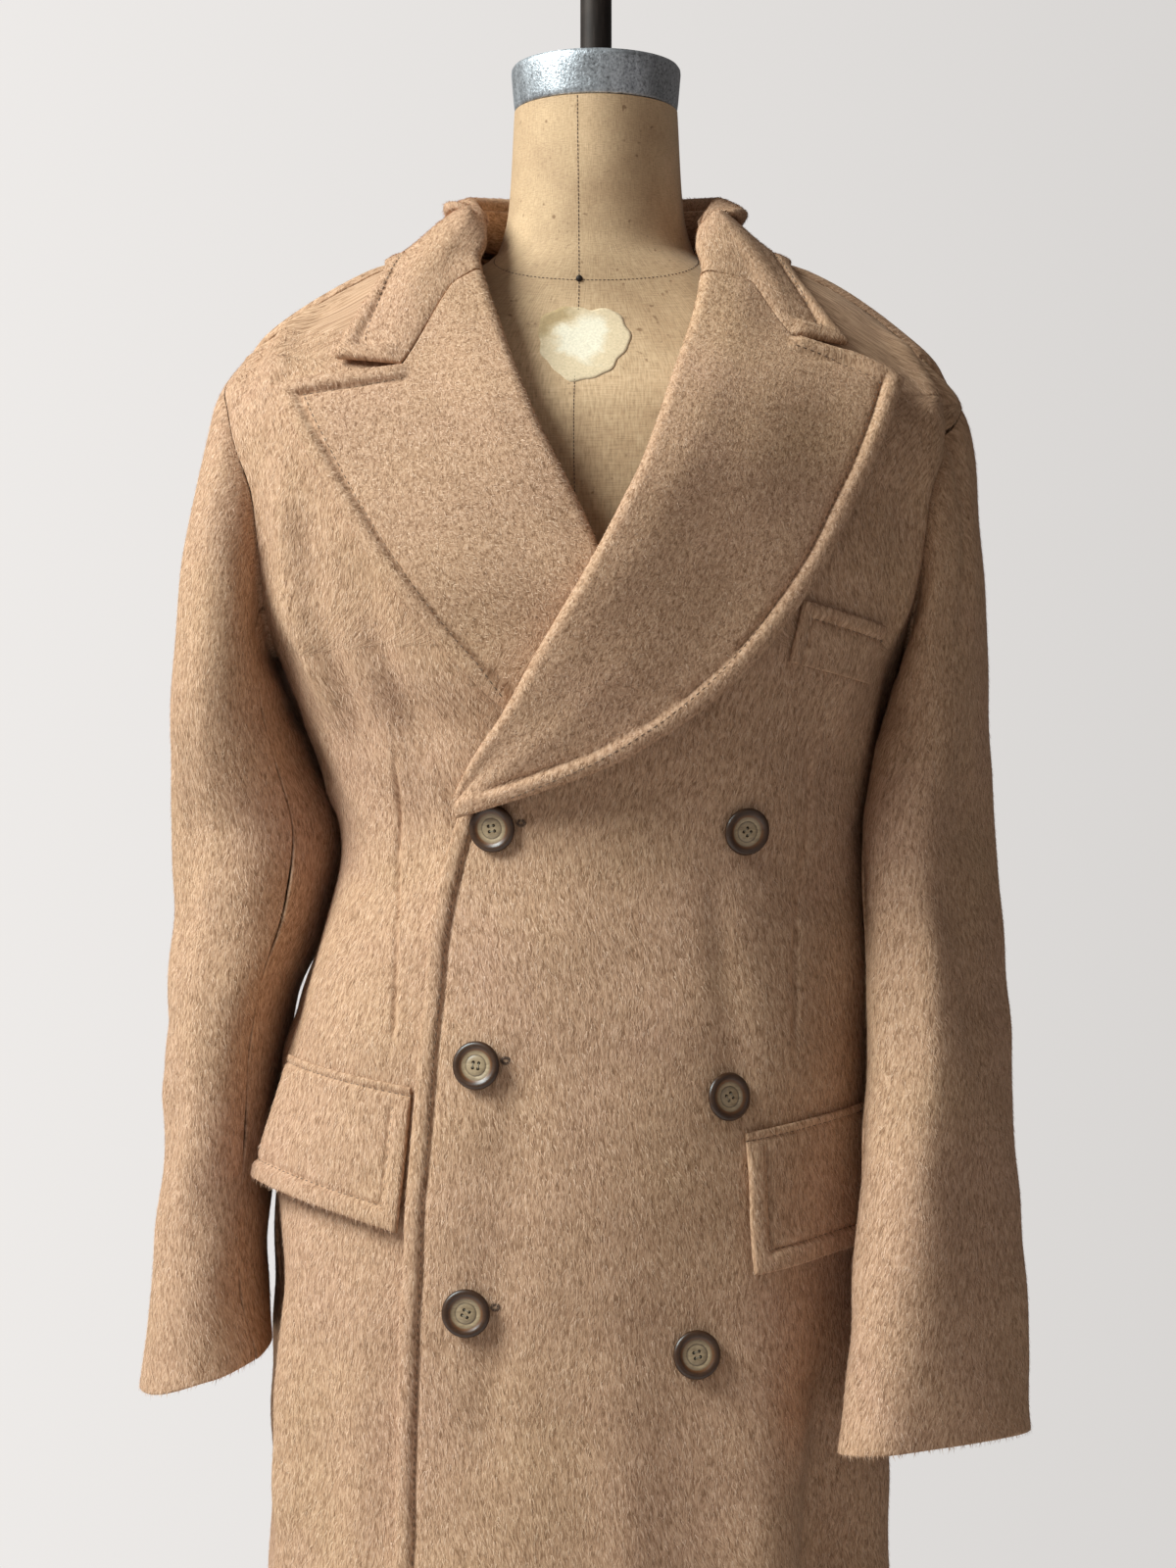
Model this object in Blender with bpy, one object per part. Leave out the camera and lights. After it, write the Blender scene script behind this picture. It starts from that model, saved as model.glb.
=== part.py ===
"""Double-breasted overcoat on a limbless dress form, as closed solids.

Tables and sizes are in millimetres and become metres when a mesh is made.
The origin is under the middle of the stand's base, +Z is up and the front of
the coat faces -Y. "Left" and "right" are as seen from the front: left is -X.

Every cloth piece is laid on one surface, the coat surface, that is given by
rings: a point has an angle round the ring (0 at the right side seam, 90 at the
front, 180 at the left side seam, -90 at the back), a height, and a lift, its
distance outwards from the surface.
"""

import math
from collections import namedtuple

import bmesh
import bpy
from mathutils import Vector

MM = 0.001
SEAM_GAP = 0.4
SHARP_ANGLE = math.radians(40)

# The coat hangs a little to the left of the form's middle.
COAT_X = -5.0

# Cloth walls.
PANEL_WALL = 3.0
LAPEL_WALL = 3.6
COLLAR_WALL = 3.0
STAND_WALL = 2.4
FLAP_WALL = 3.0
SLEEVE_WALL = 3.0

# Heights of the coat.
HEM_Z = 290.0
ARMPIT_Z = 1190.0
NECK_Z = 1448.0
SHOULDER_Z = {"left": 1364.0, "right": 1344.0}
# The shoulder seam runs forward of the crest between the armhole and the collar.
SHOULDER_FORWARD = 22.0
SHOULDER_RAMP = 34.0
SHOULDER_FADE_Z = (1422.0, 1444.0)

# Armhole, an oval seen from the side.
ARMHOLE_FRONT = 66.0
ARMHOLE_BACK = 72.0

# Rows and columns of the body panels.
LOW_ROWS = (HEM_Z, 390, 490, 590, 690, 780, 860, 920, 975, 1030, 1065, 1100, 1124, 1155)
ARMHOLE_ROWS = 10
TOP_ROWS = (1364, 1384, 1401, 1415, 1428, 1439, NECK_Z - 1.5)
ROW_CLEAR = 8.0
BACK_ROW_CLEAR = 4.0
OVER_COLUMNS = 13
UNDER_COLUMNS = 12
BACK_COLUMNS = 18

# Small steps over which slopes of the surfaces are taken.
ANGLE_STEP = 1.5
HEIGHT_STEP = 3.0
SHARE_STEP = 0.01


class Table:
    """Rows of named columns, read smoothly at any value of the first column."""

    def __init__(self, columns, rows):
        self.columns = columns
        self.rows = rows

    def column(self, name):
        index = self.columns.index(name)
        return [row[index] for row in self.rows]

    def at(self, key, name):
        keys = self.column(self.columns[0])
        values = self.column(name)
        if key <= keys[0]:
            return values[0]
        if key >= keys[-1]:
            return values[-1]
        i = max(k for k in range(len(keys) - 1) if keys[k] <= key)
        span = keys[i + 1] - keys[i]
        f = (key - keys[i]) / span
        m0 = slope(keys, values, i) * span
        m1 = slope(keys, values, i + 1) * span
        h0 = (1 + 2 * f) * (1 - f) ** 2
        h1 = f * f * (3 - 2 * f)
        return h0 * values[i] + f * (1 - f) ** 2 * m0 + h1 * values[i + 1] - f * f * (1 - f) * m1


def slope(keys, values, i):
    """Slope at a row that never overshoots its neighbours."""
    if i == 0:
        return (values[1] - values[0]) / (keys[1] - keys[0])
    if i == len(keys) - 1:
        return (values[-1] - values[-2]) / (keys[-1] - keys[-2])
    before = (values[i] - values[i - 1]) / (keys[i] - keys[i - 1])
    after = (values[i + 1] - values[i]) / (keys[i + 1] - keys[i])
    if before * after <= 0:
        return 0.0
    return 2 * before * after / (before + after)


# Rings of the coat. Above the neck edge they only guide the collar.
COAT_RINGS = Table(
    ("z", "half_width", "front", "back", "shift", "power"),
    [
        (290, 214, 172, 172, -7, 2.1),
        (450, 203, 164, 164, -8, 2.1),
        (620, 191.5, 156, 156, -9, 2.1),
        (740, 193, 153, 152, -8, 2.1),
        (860, 190, 150, 148, -6, 2.15),
        (945, 184, 146, 140, -1, 2.15),
        (1012, 172, 136, 122, 6, 2.15),
        (1075, 162, 127, 108, 11, 2.15),
        (1135, 172, 134, 110, 6, 2.2),
        (1180, 188, 142, 117, 1, 2.2),
        (1225, 208, 145, 121, 0, 2.2),
        (1285, 224, 138, 121, 0, 2.2),
        (1325, 234, 126, 114, 0, 2.2),
        (1344, 232.5, 116, 108, -0.5, 2.15),
        (1364, 219, 103, 101, -2, 2.1),
        (1384, 201, 91, 95, -2, 2.1),
        (1401, 179.5, 82, 90, -1.5, 2.1),
        (1424, 140, 69, 83, 0, 2.1),
        (1438, 102, 62, 78, 0, 2.1),
        (1448, 78, 57, 74, 2, 2.1),
        (1465, 71, 55, 72, 4, 2.1),
        (1495, 70, 56, 73, 4, 2.1),
    ],
)

# Long folds of the cloth. Positive depth stands out, negative is a trough.
# The fold fades in downwards from its start to its full depth.
FOLD_END_SPAN = 50.0
FOLD_COLUMNS = ("angle", "drift", "spread", "depth", "start_z", "full_z", "end_z")
FOLDS = [
    (57, -3, 9, 13, 860, 640, 0),
    (39, -2, 9, -26, 880, 600, 0),
    (18, 0, 10, 9, 850, 500, 0),
    (154, 2, 8, 8, 880, 640, 0),
    (171, 1, 11, -24, 900, 740, 0),
    (118, 3, 10, -5, 700, 400, 0),
    (-20, 0, 10, -10, 900, 480, 0),
    (-46, 2, 12, 14, 980, 480, 0),
    (-68, 0, 10, -11, 950, 480, 0),
    (-92, 0, 11, 11, 930, 480, 0),
    (-114, 0, 10, -11, 950, 480, 0),
    (-138, -2, 12, 13, 980, 480, 0),
    (-160, 0, 9, 13, 900, 600, 0),
    (146, 0, 6, 6, 1330, 1230, 1130),
    (132, -4, 6, 5, 1260, 1180, 1090),
    (140, 0, 5, -4, 1300, 1220, 1120),
    (38, 0, 7, 5, 1320, 1240, 1130),
    (-60, 0, 10, 6, 1350, 1260, 1140),
    (-120, 0, 10, 6, 1350, 1260, 1140),
]

# Free edge of the over front: front edge to the break, then the roll line.
OVER_EDGE = Table(
    ("z", "x"),
    [
        (290, -115),
        (668, -110),
        (800, -106),
        (929, -99),
        (1025, -88),
        (1094, -74),
        (1170, -37),
        (1251, 5),
        (1340, 45),
        (1413, 73),
        (1448, 79),
    ],
)

# Free edge of the under front: hidden edge, hidden roll line, shown roll line.
UNDER_EDGE = Table(
    ("z", "x"),
    [
        (290, 82),
        (900, 80),
        (1096, 66),
        (1170, 38),
        (1251, 5),
        (1321, -28),
        (1413, -62),
        (1448, -75),
    ],
)

# How far the over front stands off the under front.
OVER_LIFT = 4.4
OVER_LIFT_FULL_X = 92.0
OVER_LIFT_END_X = 148.0
OVER_LIFT_FADE_Z = (1320.0, 1410.0)
ROLL_LIFT = 9.0
ROLL_LIFT_Z = (1100.0, 1143.0)
ROLL_LIFT_FADE_Z = (1262.0, 1350.0)
ROLL_LIFT_REACH = 95.0

# Lapels: heights of the roll line, outer edge from the bottom up, bends of the top edge.
OVER_LAPEL = {
    "roll_z": (1101, 1409),
    "belly": [(-71, 1092), (-33, 1105), (25, 1127), (80, 1168), (120, 1215), (152, 1270), (184, 1346)],
    "top": [(94, 1405), (117, 1371), (155, 1361.5)],
    "low_stand": 4.4,
    "rows": 13,
}
UNDER_LAPEL = {
    "roll_z": (1180, 1409),
    "belly": [(-38, 1143), (-86, 1193), (-120, 1236), (-150, 1284), (-183, 1343)],
    "top": [(-78, 1402), (-107.5, 1352.5)],
    "low_stand": 0.0,
    "rows": 10,
}
LAPEL_LIFT = 6.0
LAPEL_ROLL_DROP = 1.5
LAPEL_ROLL_OUT = 1.5
LAPEL_TUCK = 18.0
CORNER_EASE = 0.06

# Shares of a lapel's width and height over which its roll and its low edge change.
LAPEL_ROLL_U = (0.0, 0.18)
LAPEL_ROLL_V = (0.0, 0.3)
LAPEL_LOW_U = (0.1, 0.5)
LAPEL_LOW_V = (0.25, 0.6)

# Collar from the centre back to the front of the neck, right side; the left is its mirror.
# Places on the coat surface by angle and height; the lift is highest half way down the leaf.
COLLAR = Table(
    ("s", "base_angle", "base_z", "fold_angle", "fold_z", "edge_angle", "edge_z", "mid_lift"),
    [
        (0.0, -90, 1450, -90, 1490, -90, 1417, 16.0),
        (0.3, -45, 1450, -45, 1487, -42, 1423, 18.0),
        (0.55, 0, 1450, 0, 1477, 0, 1432, 18.0),
        (0.66, 22, 1449.5, 20, 1468, 22, 1427, 16.0),
        (0.78, 38.5, 1445, 33, 1456, 37, 1419, 12.0),
        (0.89, 56, 1430, 46, 1440, 43, 1400, 9.0),
        (1.0, 66, 1412, 61, 1420, 46, 1372, 6.6),
    ],
)
FALL_END_S = 0.72
STAND_MARGIN = 3.0
FOLD_MARGIN = 1.5
# Makes the bulge of the fall 1 at its highest, a third of the way down.
FALL_BULGE = 6.75
STAND_LIFT = -1.5
FOLD_LIFT = 2.0
FOLD_END_LIFT = 5.0
FALL_LIFT = 6.6
COLLAR_FRONT = {
    "left": [(-63, 1412), (-80, 1404), (-109.5, 1355), (-148, 1359)],
    "right": [(73, 1413), (95.6, 1407), (118.6, 1373.2), (153, 1368)],
}
FALL_SHARES = (0.0, 0.08, 0.2, 0.42, 0.65, 0.82, 1.0)
STAND_SHARES = (0.0, 0.45, 0.88)
STAND_END_S = 0.7
FOLD_LIFT_S = (0.55, 0.75)
FOLD_ROUND = 0.15
FALL_ROWS = 11
STAND_ROWS = 8

# Sleeves below the armhole: centre, half sizes, turn of the section, cuff slope.
SLEEVES = {
    "left": Table(
        ("drop", "cx", "cy", "half_width", "half_depth", "turn", "tilt"),
        [
            (0, -214, 6, 39, 70, 8, 0),
            (50, -205, 24, 50, 67, 14, 0),
            (94, -208.5, 22, 46, 66, 13, 0),
            (150, -221, 6, 34.5, 65, 8, 0),
            (230, -227, 0, 30, 63, 5, 0),
            (320, -235, -8, 32.5, 61, 2, -5),
            (379, -236, -14, 38.5, 58, -8, -14),
        ],
    ),
    "right": Table(
        ("drop", "cx", "cy", "half_width", "half_depth", "turn", "tilt"),
        [
            (0, 215.2, -8, 28.5, 68, -21, 0),
            (45, 211.2, -17, 29.5, 67, -27, 0),
            (80, 211.7, -26, 31, 66, -27, 0),
            (130, 211.5, -46, 33, 65, -26, 0),
            (220, 210, -78, 35, 64, -30, 0),
            (320, 207, -104, 35, 63, -43, 0),
            (404, 203, -116, 35, 64, -57, 6),
        ],
    ),
}
SLEEVE_TOP_Z = 1130.0
HEAD_TANGENT = {"top": (46.0, -72.0), "low": (40.0, 14.0)}
SLEEVE_FRONT_SEAM = -44.0
SLEEVE_BACK_SEAM = 202.0
HEAD_ROWS = 6
ARM_ROWS = 8
TOP_SLEEVE_COLUMNS = 16
UNDER_SLEEVE_COLUMNS = 8
SLEEVE_RADIUS = 30.0

# At the shoulder the sleeve starts nearer the armhole's edge; it meets the arm smoothly.
SHOULDER_EASE = 0.5
ARMHOLE_GAP = 0.9
ARRIVE_MIN = 40.0

# Flaps and welt as four corners on the panel: top inner, top outer, low outer, low inner.
FLAP_OVER = [(88, 909), (163, 920), (166, 838), (90, 828)]
FLAP_UNDER = [(-101, 934), (-177, 945), (-188, 870), (-106, 851)]
BREAST_WELT = [(123, 1218), (172, 1206), (164, 1171), (113, 1182)]
FLAP_LIFT = 3.8
FLAP_STAND = 5.0
FLAP_FLARE = 9.0
WELT_WALL = 2.0
WELT_LIFT = 3.6
PATCH_ROWS = 5
PATCH_COLUMNS = 7

# Buttons: centre on the over front.
BUTTONS = [(-53, 1085), (89, 1083), (-62, 948), (78, 930), (-68, 808), (60, 784)]
BUTTON_LIFT = 3.2
BUTTON_STEPS = 14
BUTTON_PROFILE = [
    (0.0, 2.6), (7.5, 2.7), (9.8, 4.1), (12.2, 4.4), (14.0, 2.6), (13.0, 0.4), (11.0, 0.0), (0.0, 0.0),
]

# Dress form: rings of the torso and neck.
FORM_STEPS = 28
FORM_RINGS = Table(
    ("z", "half_width", "front", "back", "power"),
    [
        (822, 150, 112, 112, 2.1),
        (830, 160, 122, 120, 2.1),
        (945, 160, 120, 116, 2.1),
        (1010, 148, 108, 102, 2.1),
        (1075, 134, 100, 90, 2.1),
        (1135, 142, 108, 92, 2.1),
        (1190, 158, 120, 98, 2.1),
        (1240, 172, 122, 102, 2.15),
        (1300, 186, 114, 102, 2.2),
        (1340, 190, 100, 96, 2.2),
        (1358, 184, 88, 90, 2.2),
        (1376, 170, 74, 82, 2.1),
        (1392, 148, 64, 76, 2.1),
        (1412, 112, 58, 70, 2.1),
        (1428, 80, 56, 66, 2.1),
        (1440, 62, 54, 60, 2.0),
        (1470, 54.5, 53, 54, 2.0),
        (1529.6, 51, 51, 51, 2.0),
    ],
)
CAP_PROFILE = [
    (0, 1556), (13, 1556.5), (42, 1558), (50.5, 1557), (53, 1553.5), (51.0, 1532), (49.5, 1530), (0, 1530),
]
TOP_POLE_R = 9.8
TOP_POLE_Z = (1556.8, 1640.0)
POLE_STEPS = 20
POLE_CHAMFER = 1.0
STAND_POLE_R = 16.0
STAND_POLE_Z = (62.3, 821.6)
BASE_PROFILE = [
    (0, 62), (24, 62), (26, 58), (27, 44), (34, 36), (60, 30),
    (150, 24), (205, 18), (220, 8), (214, 0), (0, 0),
]

# Colours from the photo.
CAMEL = (0.44, 0.27, 0.15)
HORN = (0.05, 0.03, 0.02)
LINEN = (0.48, 0.29, 0.14)
CAST_METAL = (0.35, 0.34, 0.33)
DARK_STEEL = (0.03, 0.026, 0.024)


# The cloth's material and the empty that carries the coat's pieces.
Cloth = namedtuple("Cloth", ("finish", "coat"))


def step(value, start, end):
    """Smooth step from 0 at start to 1 at end."""
    f = min(1.0, max(0.0, (value - start) / (end - start)))
    return f * f * (3 - 2 * f)


def mix(a, b, f):
    return a + (b - a) * f


def fold_height(angle, z):
    """Sum of the long folds at an angle (degrees) and height."""
    total = 0.0
    for row in FOLDS:
        fold = dict(zip(FOLD_COLUMNS, row))
        centre = fold["angle"] + fold["drift"] * step(z, fold["start_z"], HEM_Z)
        away = (angle - centre + 180) % 360 - 180
        if abs(away) > 3 * fold["spread"]:
            continue
        fade = step(z, fold["start_z"], fold["full_z"])
        if fold["end_z"]:
            fade *= step(z, fold["end_z"], fold["end_z"] + FOLD_END_SPAN)
        total += fold["depth"] * fade * math.exp(-((away / fold["spread"]) ** 2))
    return total


def ring_point(angle, z):
    """Point of the coat surface without its folds."""
    ring = {name: COAT_RINGS.at(z, name) for name in COAT_RINGS.columns[1:]}
    c = math.cos(math.radians(angle))
    s = math.sin(math.radians(angle))
    power = 2 / ring["power"]
    depth = ring["front"] if s > 0 else ring["back"]
    x = ring["shift"] + ring["half_width"] * math.copysign(abs(c) ** power, c)
    return Vector((x, -depth * math.copysign(abs(s) ** power, s), z))


def ring_normal(angle, z):
    """Outward normal of the coat surface without its folds."""
    across = ring_point(angle + ANGLE_STEP, z) - ring_point(angle - ANGLE_STEP, z)
    up = ring_point(angle, z + HEIGHT_STEP) - ring_point(angle, z - HEIGHT_STEP)
    return up.cross(across).normalized()


def on_coat(angle, z, lift=0.0):
    """Point at a lift from the coat surface, folds included."""
    return ring_point(angle, z) + ring_normal(angle, z) * (lift + fold_height(angle, z))


def front_angle(x, z):
    """Angle of the front point of a ring with this x."""
    reach = (x - COAT_RINGS.at(z, "shift")) / COAT_RINGS.at(z, "half_width")
    reach = max(-1.0, min(1.0, reach))
    c = math.copysign(abs(reach) ** (COAT_RINGS.at(z, "power") / 2), reach)
    return math.degrees(math.acos(c))


def side_angle(y, z):
    """Angle away from the side line at which a ring reaches a depth y."""
    depth = COAT_RINGS.at(z, "front" if y < 0 else "back")
    s = min(1.0, (abs(y) / depth) ** (COAT_RINGS.at(z, "power") / 2))
    return math.copysign(math.degrees(math.asin(s)), -y)


def armhole(side):
    """Centre height and half height of an armhole."""
    top = SHOULDER_Z[side]
    return (top + ARMPIT_Z) / 2, (top - ARMPIT_Z) / 2


def side_line(z, side, front):
    """Angle where a panel ends at the side: side seam, armhole or shoulder seam."""
    centre, half = armhole(side)
    reach = ARMHOLE_FRONT if front else ARMHOLE_BACK
    inside = 1 - ((z - centre) / half) ** 2
    hole = reach * math.sqrt(max(0.0, inside)) + SEAM_GAP / 2
    forward = SHOULDER_FORWARD * step(z, SHOULDER_Z[side], SHOULDER_Z[side] + SHOULDER_RAMP)
    forward *= 1 - step(z, *SHOULDER_FADE_Z)
    angle = side_angle((-hole if front else hole) - forward, z)
    return angle if side == "right" else 180 - angle


def over_lift(x, z):
    """Lift of the over front above the coat surface."""
    flat = OVER_LIFT * (1 - step(x, OVER_LIFT_FULL_X, OVER_LIFT_END_X)) * (1 - step(z, *OVER_LIFT_FADE_Z))
    away = x - OVER_EDGE.at(z, "x")
    roll = ROLL_LIFT * step(z, *ROLL_LIFT_Z) * (1 - step(z, *ROLL_LIFT_FADE_Z))
    return flat + roll * (1 - step(away, 0, ROLL_LIFT_REACH))


def on_over(x, z, lift=0.0):
    """Point on the over front, given as seen from the front."""
    return on_coat(front_angle(x, z), z, over_lift(x, z) + lift)


def on_under(x, z, lift=0.0):
    """Point on the under front, given as seen from the front."""
    return on_coat(front_angle(x, z), z, lift)


def panel_heights(side):
    """Row heights of a body panel, close together round the armhole."""
    centre, half = armhole(side)
    arch = [centre - half * math.cos(math.pi * k / ARMHOLE_ROWS) for k in range(ARMHOLE_ROWS + 1)]
    return [*LOW_ROWS, *arch, *[z for z in TOP_ROWS if z > arch[-1] + ROW_CLEAR]]


def back_heights():
    """Row heights of the back, which has both armholes."""
    heights = []
    for z in sorted(panel_heights("left") + panel_heights("right")):
        if not heights or z - heights[-1] > BACK_ROW_CLEAR:
            heights.append(z)
    return heights


def material(name, colour, roughness, metallic=0.0):
    made = bpy.data.materials.new(name)
    made.use_nodes = True
    shader = made.node_tree.nodes["Principled BSDF"]
    shader.inputs["Base Color"].default_value = (*colour, 1)
    shader.inputs["Roughness"].default_value = roughness
    shader.inputs["Metallic"].default_value = metallic
    return made


def add_object(name, shape, finish, parent=None):
    """Make an object of a bmesh given in millimetres, hung on a parent."""
    bmesh.ops.scale(shape, vec=(MM, MM, MM), verts=shape.verts)
    mesh = bpy.data.meshes.new(name)
    shape.to_mesh(mesh)
    shape.free()
    mesh.materials.append(finish)
    mesh.shade_smooth()
    mesh.set_sharp_from_angle(angle=SHARP_ANGLE)
    made = bpy.data.objects.new(name, mesh)
    made.parent = parent
    bpy.context.scene.collection.objects.link(made)
    return made


def add_empty(name, x):
    made = bpy.data.objects.new(name, None)
    made.location.x = x * MM
    bpy.context.scene.collection.objects.link(made)
    return made


def grid_normals(points):
    """Normals of a grid of points from its neighbours."""
    rows = len(points)
    columns = len(points[0])
    normals = []
    for i in range(rows):
        line = []
        for j in range(columns):
            up = points[min(i + 1, rows - 1)][j] - points[max(i - 1, 0)][j]
            across = points[i][min(j + 1, columns - 1)] - points[i][max(j - 1, 0)]
            line.append(across.cross(up).normalized())
        normals.append(line)
    return normals


def wall(name, points, thickness, cloth, normals=None):
    """Closed wall of cloth on both sides of a grid of points."""
    normals = normals or grid_normals(points)
    half = thickness / 2
    shape = bmesh.new()
    skins = []
    for sign in (1, -1):
        skins.append([
            [shape.verts.new(p + n * half * sign) for p, n in zip(line, sides)]
            for line, sides in zip(points, normals)
        ])
    outer, inner = skins
    last_row = len(points) - 1
    last_column = len(points[0]) - 1
    for i in range(last_row):
        for j in range(last_column):
            for skin in skins:
                shape.faces.new((skin[i][j], skin[i][j + 1], skin[i + 1][j + 1], skin[i + 1][j]))
        for j in (0, last_column):
            shape.faces.new((outer[i][j], outer[i + 1][j], inner[i + 1][j], inner[i][j]))
    for j in range(last_column):
        for i in (0, last_row):
            shape.faces.new((outer[i][j], outer[i][j + 1], inner[i][j + 1], inner[i][j]))
    bmesh.ops.recalc_face_normals(shape, faces=shape.faces)
    return add_object(name, shape, cloth.finish, cloth.coat)


def panel(name, side_angles, heights, columns, lift, cloth):
    """Body panel between two angles that change with the height."""
    points = []
    normals = []
    for z in heights:
        first, last = side_angles(z)
        line = []
        sides = []
        for j in range(columns + 1):
            angle = mix(first, last, j / columns)
            x = ring_point(angle, z).x
            line.append(on_coat(angle, z, lift(x, z)))
            sides.append(surface_normal(angle, z, lift))
        points.append(line)
        normals.append(sides)
    return wall(name, points, PANEL_WALL, cloth, normals)


def surface_normal(angle, z, lift):
    """Outward normal of a lifted coat surface with its folds."""
    def spot(a, height):
        return on_coat(a, height, lift(ring_point(a, height).x, height))

    across = spot(angle + ANGLE_STEP, z) - spot(angle - ANGLE_STEP, z)
    up = spot(angle, z + HEIGHT_STEP) - spot(angle, z - HEIGHT_STEP)
    return up.cross(across).normalized()


def no_lift(x, z):
    return 0.0


def make_panels(cloth):
    def over_angles(z):
        return side_line(z, "right", True), front_angle(OVER_EDGE.at(z, "x"), z)

    def under_angles(z):
        return front_angle(UNDER_EDGE.at(z, "x"), z), side_line(z, "left", True)

    def back_angles(z):
        return side_line(z, "left", False) - 360, side_line(z, "right", False)

    panel("front_over", over_angles, panel_heights("right"), OVER_COLUMNS, over_lift, cloth)
    panel("front_under", under_angles, panel_heights("left"), UNDER_COLUMNS, no_lift, cloth)
    panel("back", back_angles, back_heights(), BACK_COLUMNS, no_lift, cloth)


def along(outline, f):
    """Point at a share of the length of an outline."""
    spans = [math.dist(a, b) for a, b in zip(outline, outline[1:])]
    left = f * sum(spans)
    for a, b, span in zip(outline, outline[1:], spans):
        if left <= span + 1e-6:
            share = left / span
            return Vector((mix(a[0], b[0], share), mix(a[1], b[1], share)))
        left -= span
    return Vector(outline[-1])


def rounded(outline, f):
    """Point of an outline with its corners eased, except at its two ends."""
    ease = CORNER_EASE * min(1.0, 4 * f, 4 * (1 - f))
    low = max(0.0, f - ease)
    high = min(1.0, f + ease)
    return (along(outline, low) + along(outline, f) * 2 + along(outline, high)) / 4


def over_roll(z):
    """Roll edge of the over lapel, just past the edge of its front."""
    return Vector((OVER_EDGE.at(z, "x") - LAPEL_ROLL_OUT, z))


def under_roll(z):
    """Roll edge of the under lapel, tucked beneath the over front lower down."""
    return Vector((min(UNDER_EDGE.at(z, "x") + LAPEL_ROLL_OUT, OVER_EDGE.at(z, "x") + LAPEL_TUCK), z))


def patch_mix(a, b, c, d, u, v):
    """Point between four corners: low inner, low outer, top inner, top outer."""
    return (a * (1 - u) + b * u) * (1 - v) + (c * (1 - u) + d * u) * v


def lapel_spot(lapel, roll, u, v):
    """Front-view place on a lapel: u from roll line to outer edge, v from bottom to top."""
    low_z, high_z = lapel["roll_z"]
    inner = roll(mix(low_z, high_z, v))
    outer = rounded(lapel["belly"], v)
    low_in = roll(low_z)
    low_out = Vector(lapel["belly"][0])
    top_in = roll(high_z)
    top_out = Vector(lapel["belly"][-1])
    bottom = low_in.lerp(low_out, u)
    crown = along([top_in, *lapel["top"], top_out], u)
    corners = patch_mix(low_in, low_out, top_in, top_out, u, v)
    return inner * (1 - u) + outer * u + bottom * (1 - v) + crown * v - corners


def bend_shares(outline):
    """Shares of an outline's length at its bends and half way between them."""
    spans = [math.dist(a, b) for a, b in zip(outline, outline[1:])]
    ends = [sum(spans[:k]) / sum(spans) for k in range(len(spans) + 1)]
    middles = [(a + b) / 2 for a, b in zip(ends, ends[1:])]
    return sorted(ends + middles)


def make_lapel(name, lapel, roll, place, cloth):
    """Lapel between its roll line, its outer edge and its notched top edge."""
    shares = bend_shares([roll(lapel["roll_z"][1]), *lapel["top"], lapel["belly"][-1]])
    points = []
    normals = []
    for i in range(lapel["rows"] + 1):
        v = i / lapel["rows"]
        line = []
        sides = []
        for u in shares:
            spot = lapel_spot(lapel, roll, u, v)
            sides.append(ring_normal(front_angle(spot.x, spot.y), spot.y))
            drop = LAPEL_ROLL_DROP * (1 - step(u, *LAPEL_ROLL_U)) * step(v, *LAPEL_ROLL_V)
            stand = lapel["low_stand"] * (1 - step(v, *LAPEL_LOW_V)) * step(u, *LAPEL_LOW_U)
            line.append(place(spot.x, spot.y, LAPEL_LIFT - drop + stand))
        points.append(line)
        normals.append(sides)
    return wall(name, points, LAPEL_WALL, cloth, normals)


def make_lapels(cloth):
    make_lapel("lapel_over", OVER_LAPEL, over_roll, on_over, cloth)
    make_lapel("lapel_under", UNDER_LAPEL, under_roll, on_under, cloth)


def neck_angle(side, z):
    """Angle of a front's neck edge, measured as on the right side."""
    if z > NECK_Z:
        return -90.0
    if side == "right":
        return front_angle(OVER_EDGE.at(z, "x"), z)
    return 180 - front_angle(UNDER_EDGE.at(z, "x"), z)


def collar_row(s):
    return {name: COLLAR.at(s, name) for name in COLLAR.columns}


def mirrored(side, angle):
    """Angle on the given side of an angle measured on the right."""
    return angle if side == "right" else 180 - angle


def stand_line(s, side):
    """Places on the collar stand from its base up, as angle, height and lift."""
    row = collar_row(s)
    line = []
    for k in STAND_SHARES:
        z = mix(row["base_z"], row["fold_z"], k)
        angle = mix(row["base_angle"], row["fold_angle"], k)
        angle = max(angle, neck_angle(side, z) + STAND_MARGIN)
        line.append((mirrored(side, angle), z, STAND_LIFT))
    return line


def fall_line(s, side):
    """Places on the collar fall from the fold to its edge, as angle, height and lift."""
    row = collar_row(s)
    end = step(s, FALL_END_S, 1.0)
    fold_turn = max(row["fold_angle"], neck_angle(side, row["fold_z"]) + FOLD_MARGIN)
    line = []
    for k in FALL_SHARES:
        front = along(COLLAR_FRONT[side], k)
        front_turn = mirrored(side, front_angle(front.x, front.y))
        angle = mix(mix(fold_turn, row["edge_angle"], k), front_turn, end)
        z = mix(mix(row["fold_z"], row["edge_z"], k), front.y, end)
        fold_lift = mix(FOLD_LIFT, FOLD_END_LIFT, step(s, *FOLD_LIFT_S))
        rise = mix(fold_lift, FALL_LIFT, step(k, 0, FOLD_ROUND))
        bulge = FALL_BULGE * k * (1 - k) ** 2 * (row["mid_lift"] - FALL_LIFT)
        line.append((mirrored(side, angle), z, rise + bulge))
    return line


def make_collar_part(name, line, shares, thickness, cloth):
    """Wall through the lines of a collar part, left end to right end."""
    lines = [line(s, "left") for s in reversed(shares)]
    lines += [line(s, "right") for s in shares[1:]]
    points = [[on_coat(*place) for place in places] for places in lines]
    return wall(name, points, thickness, cloth)


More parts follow.
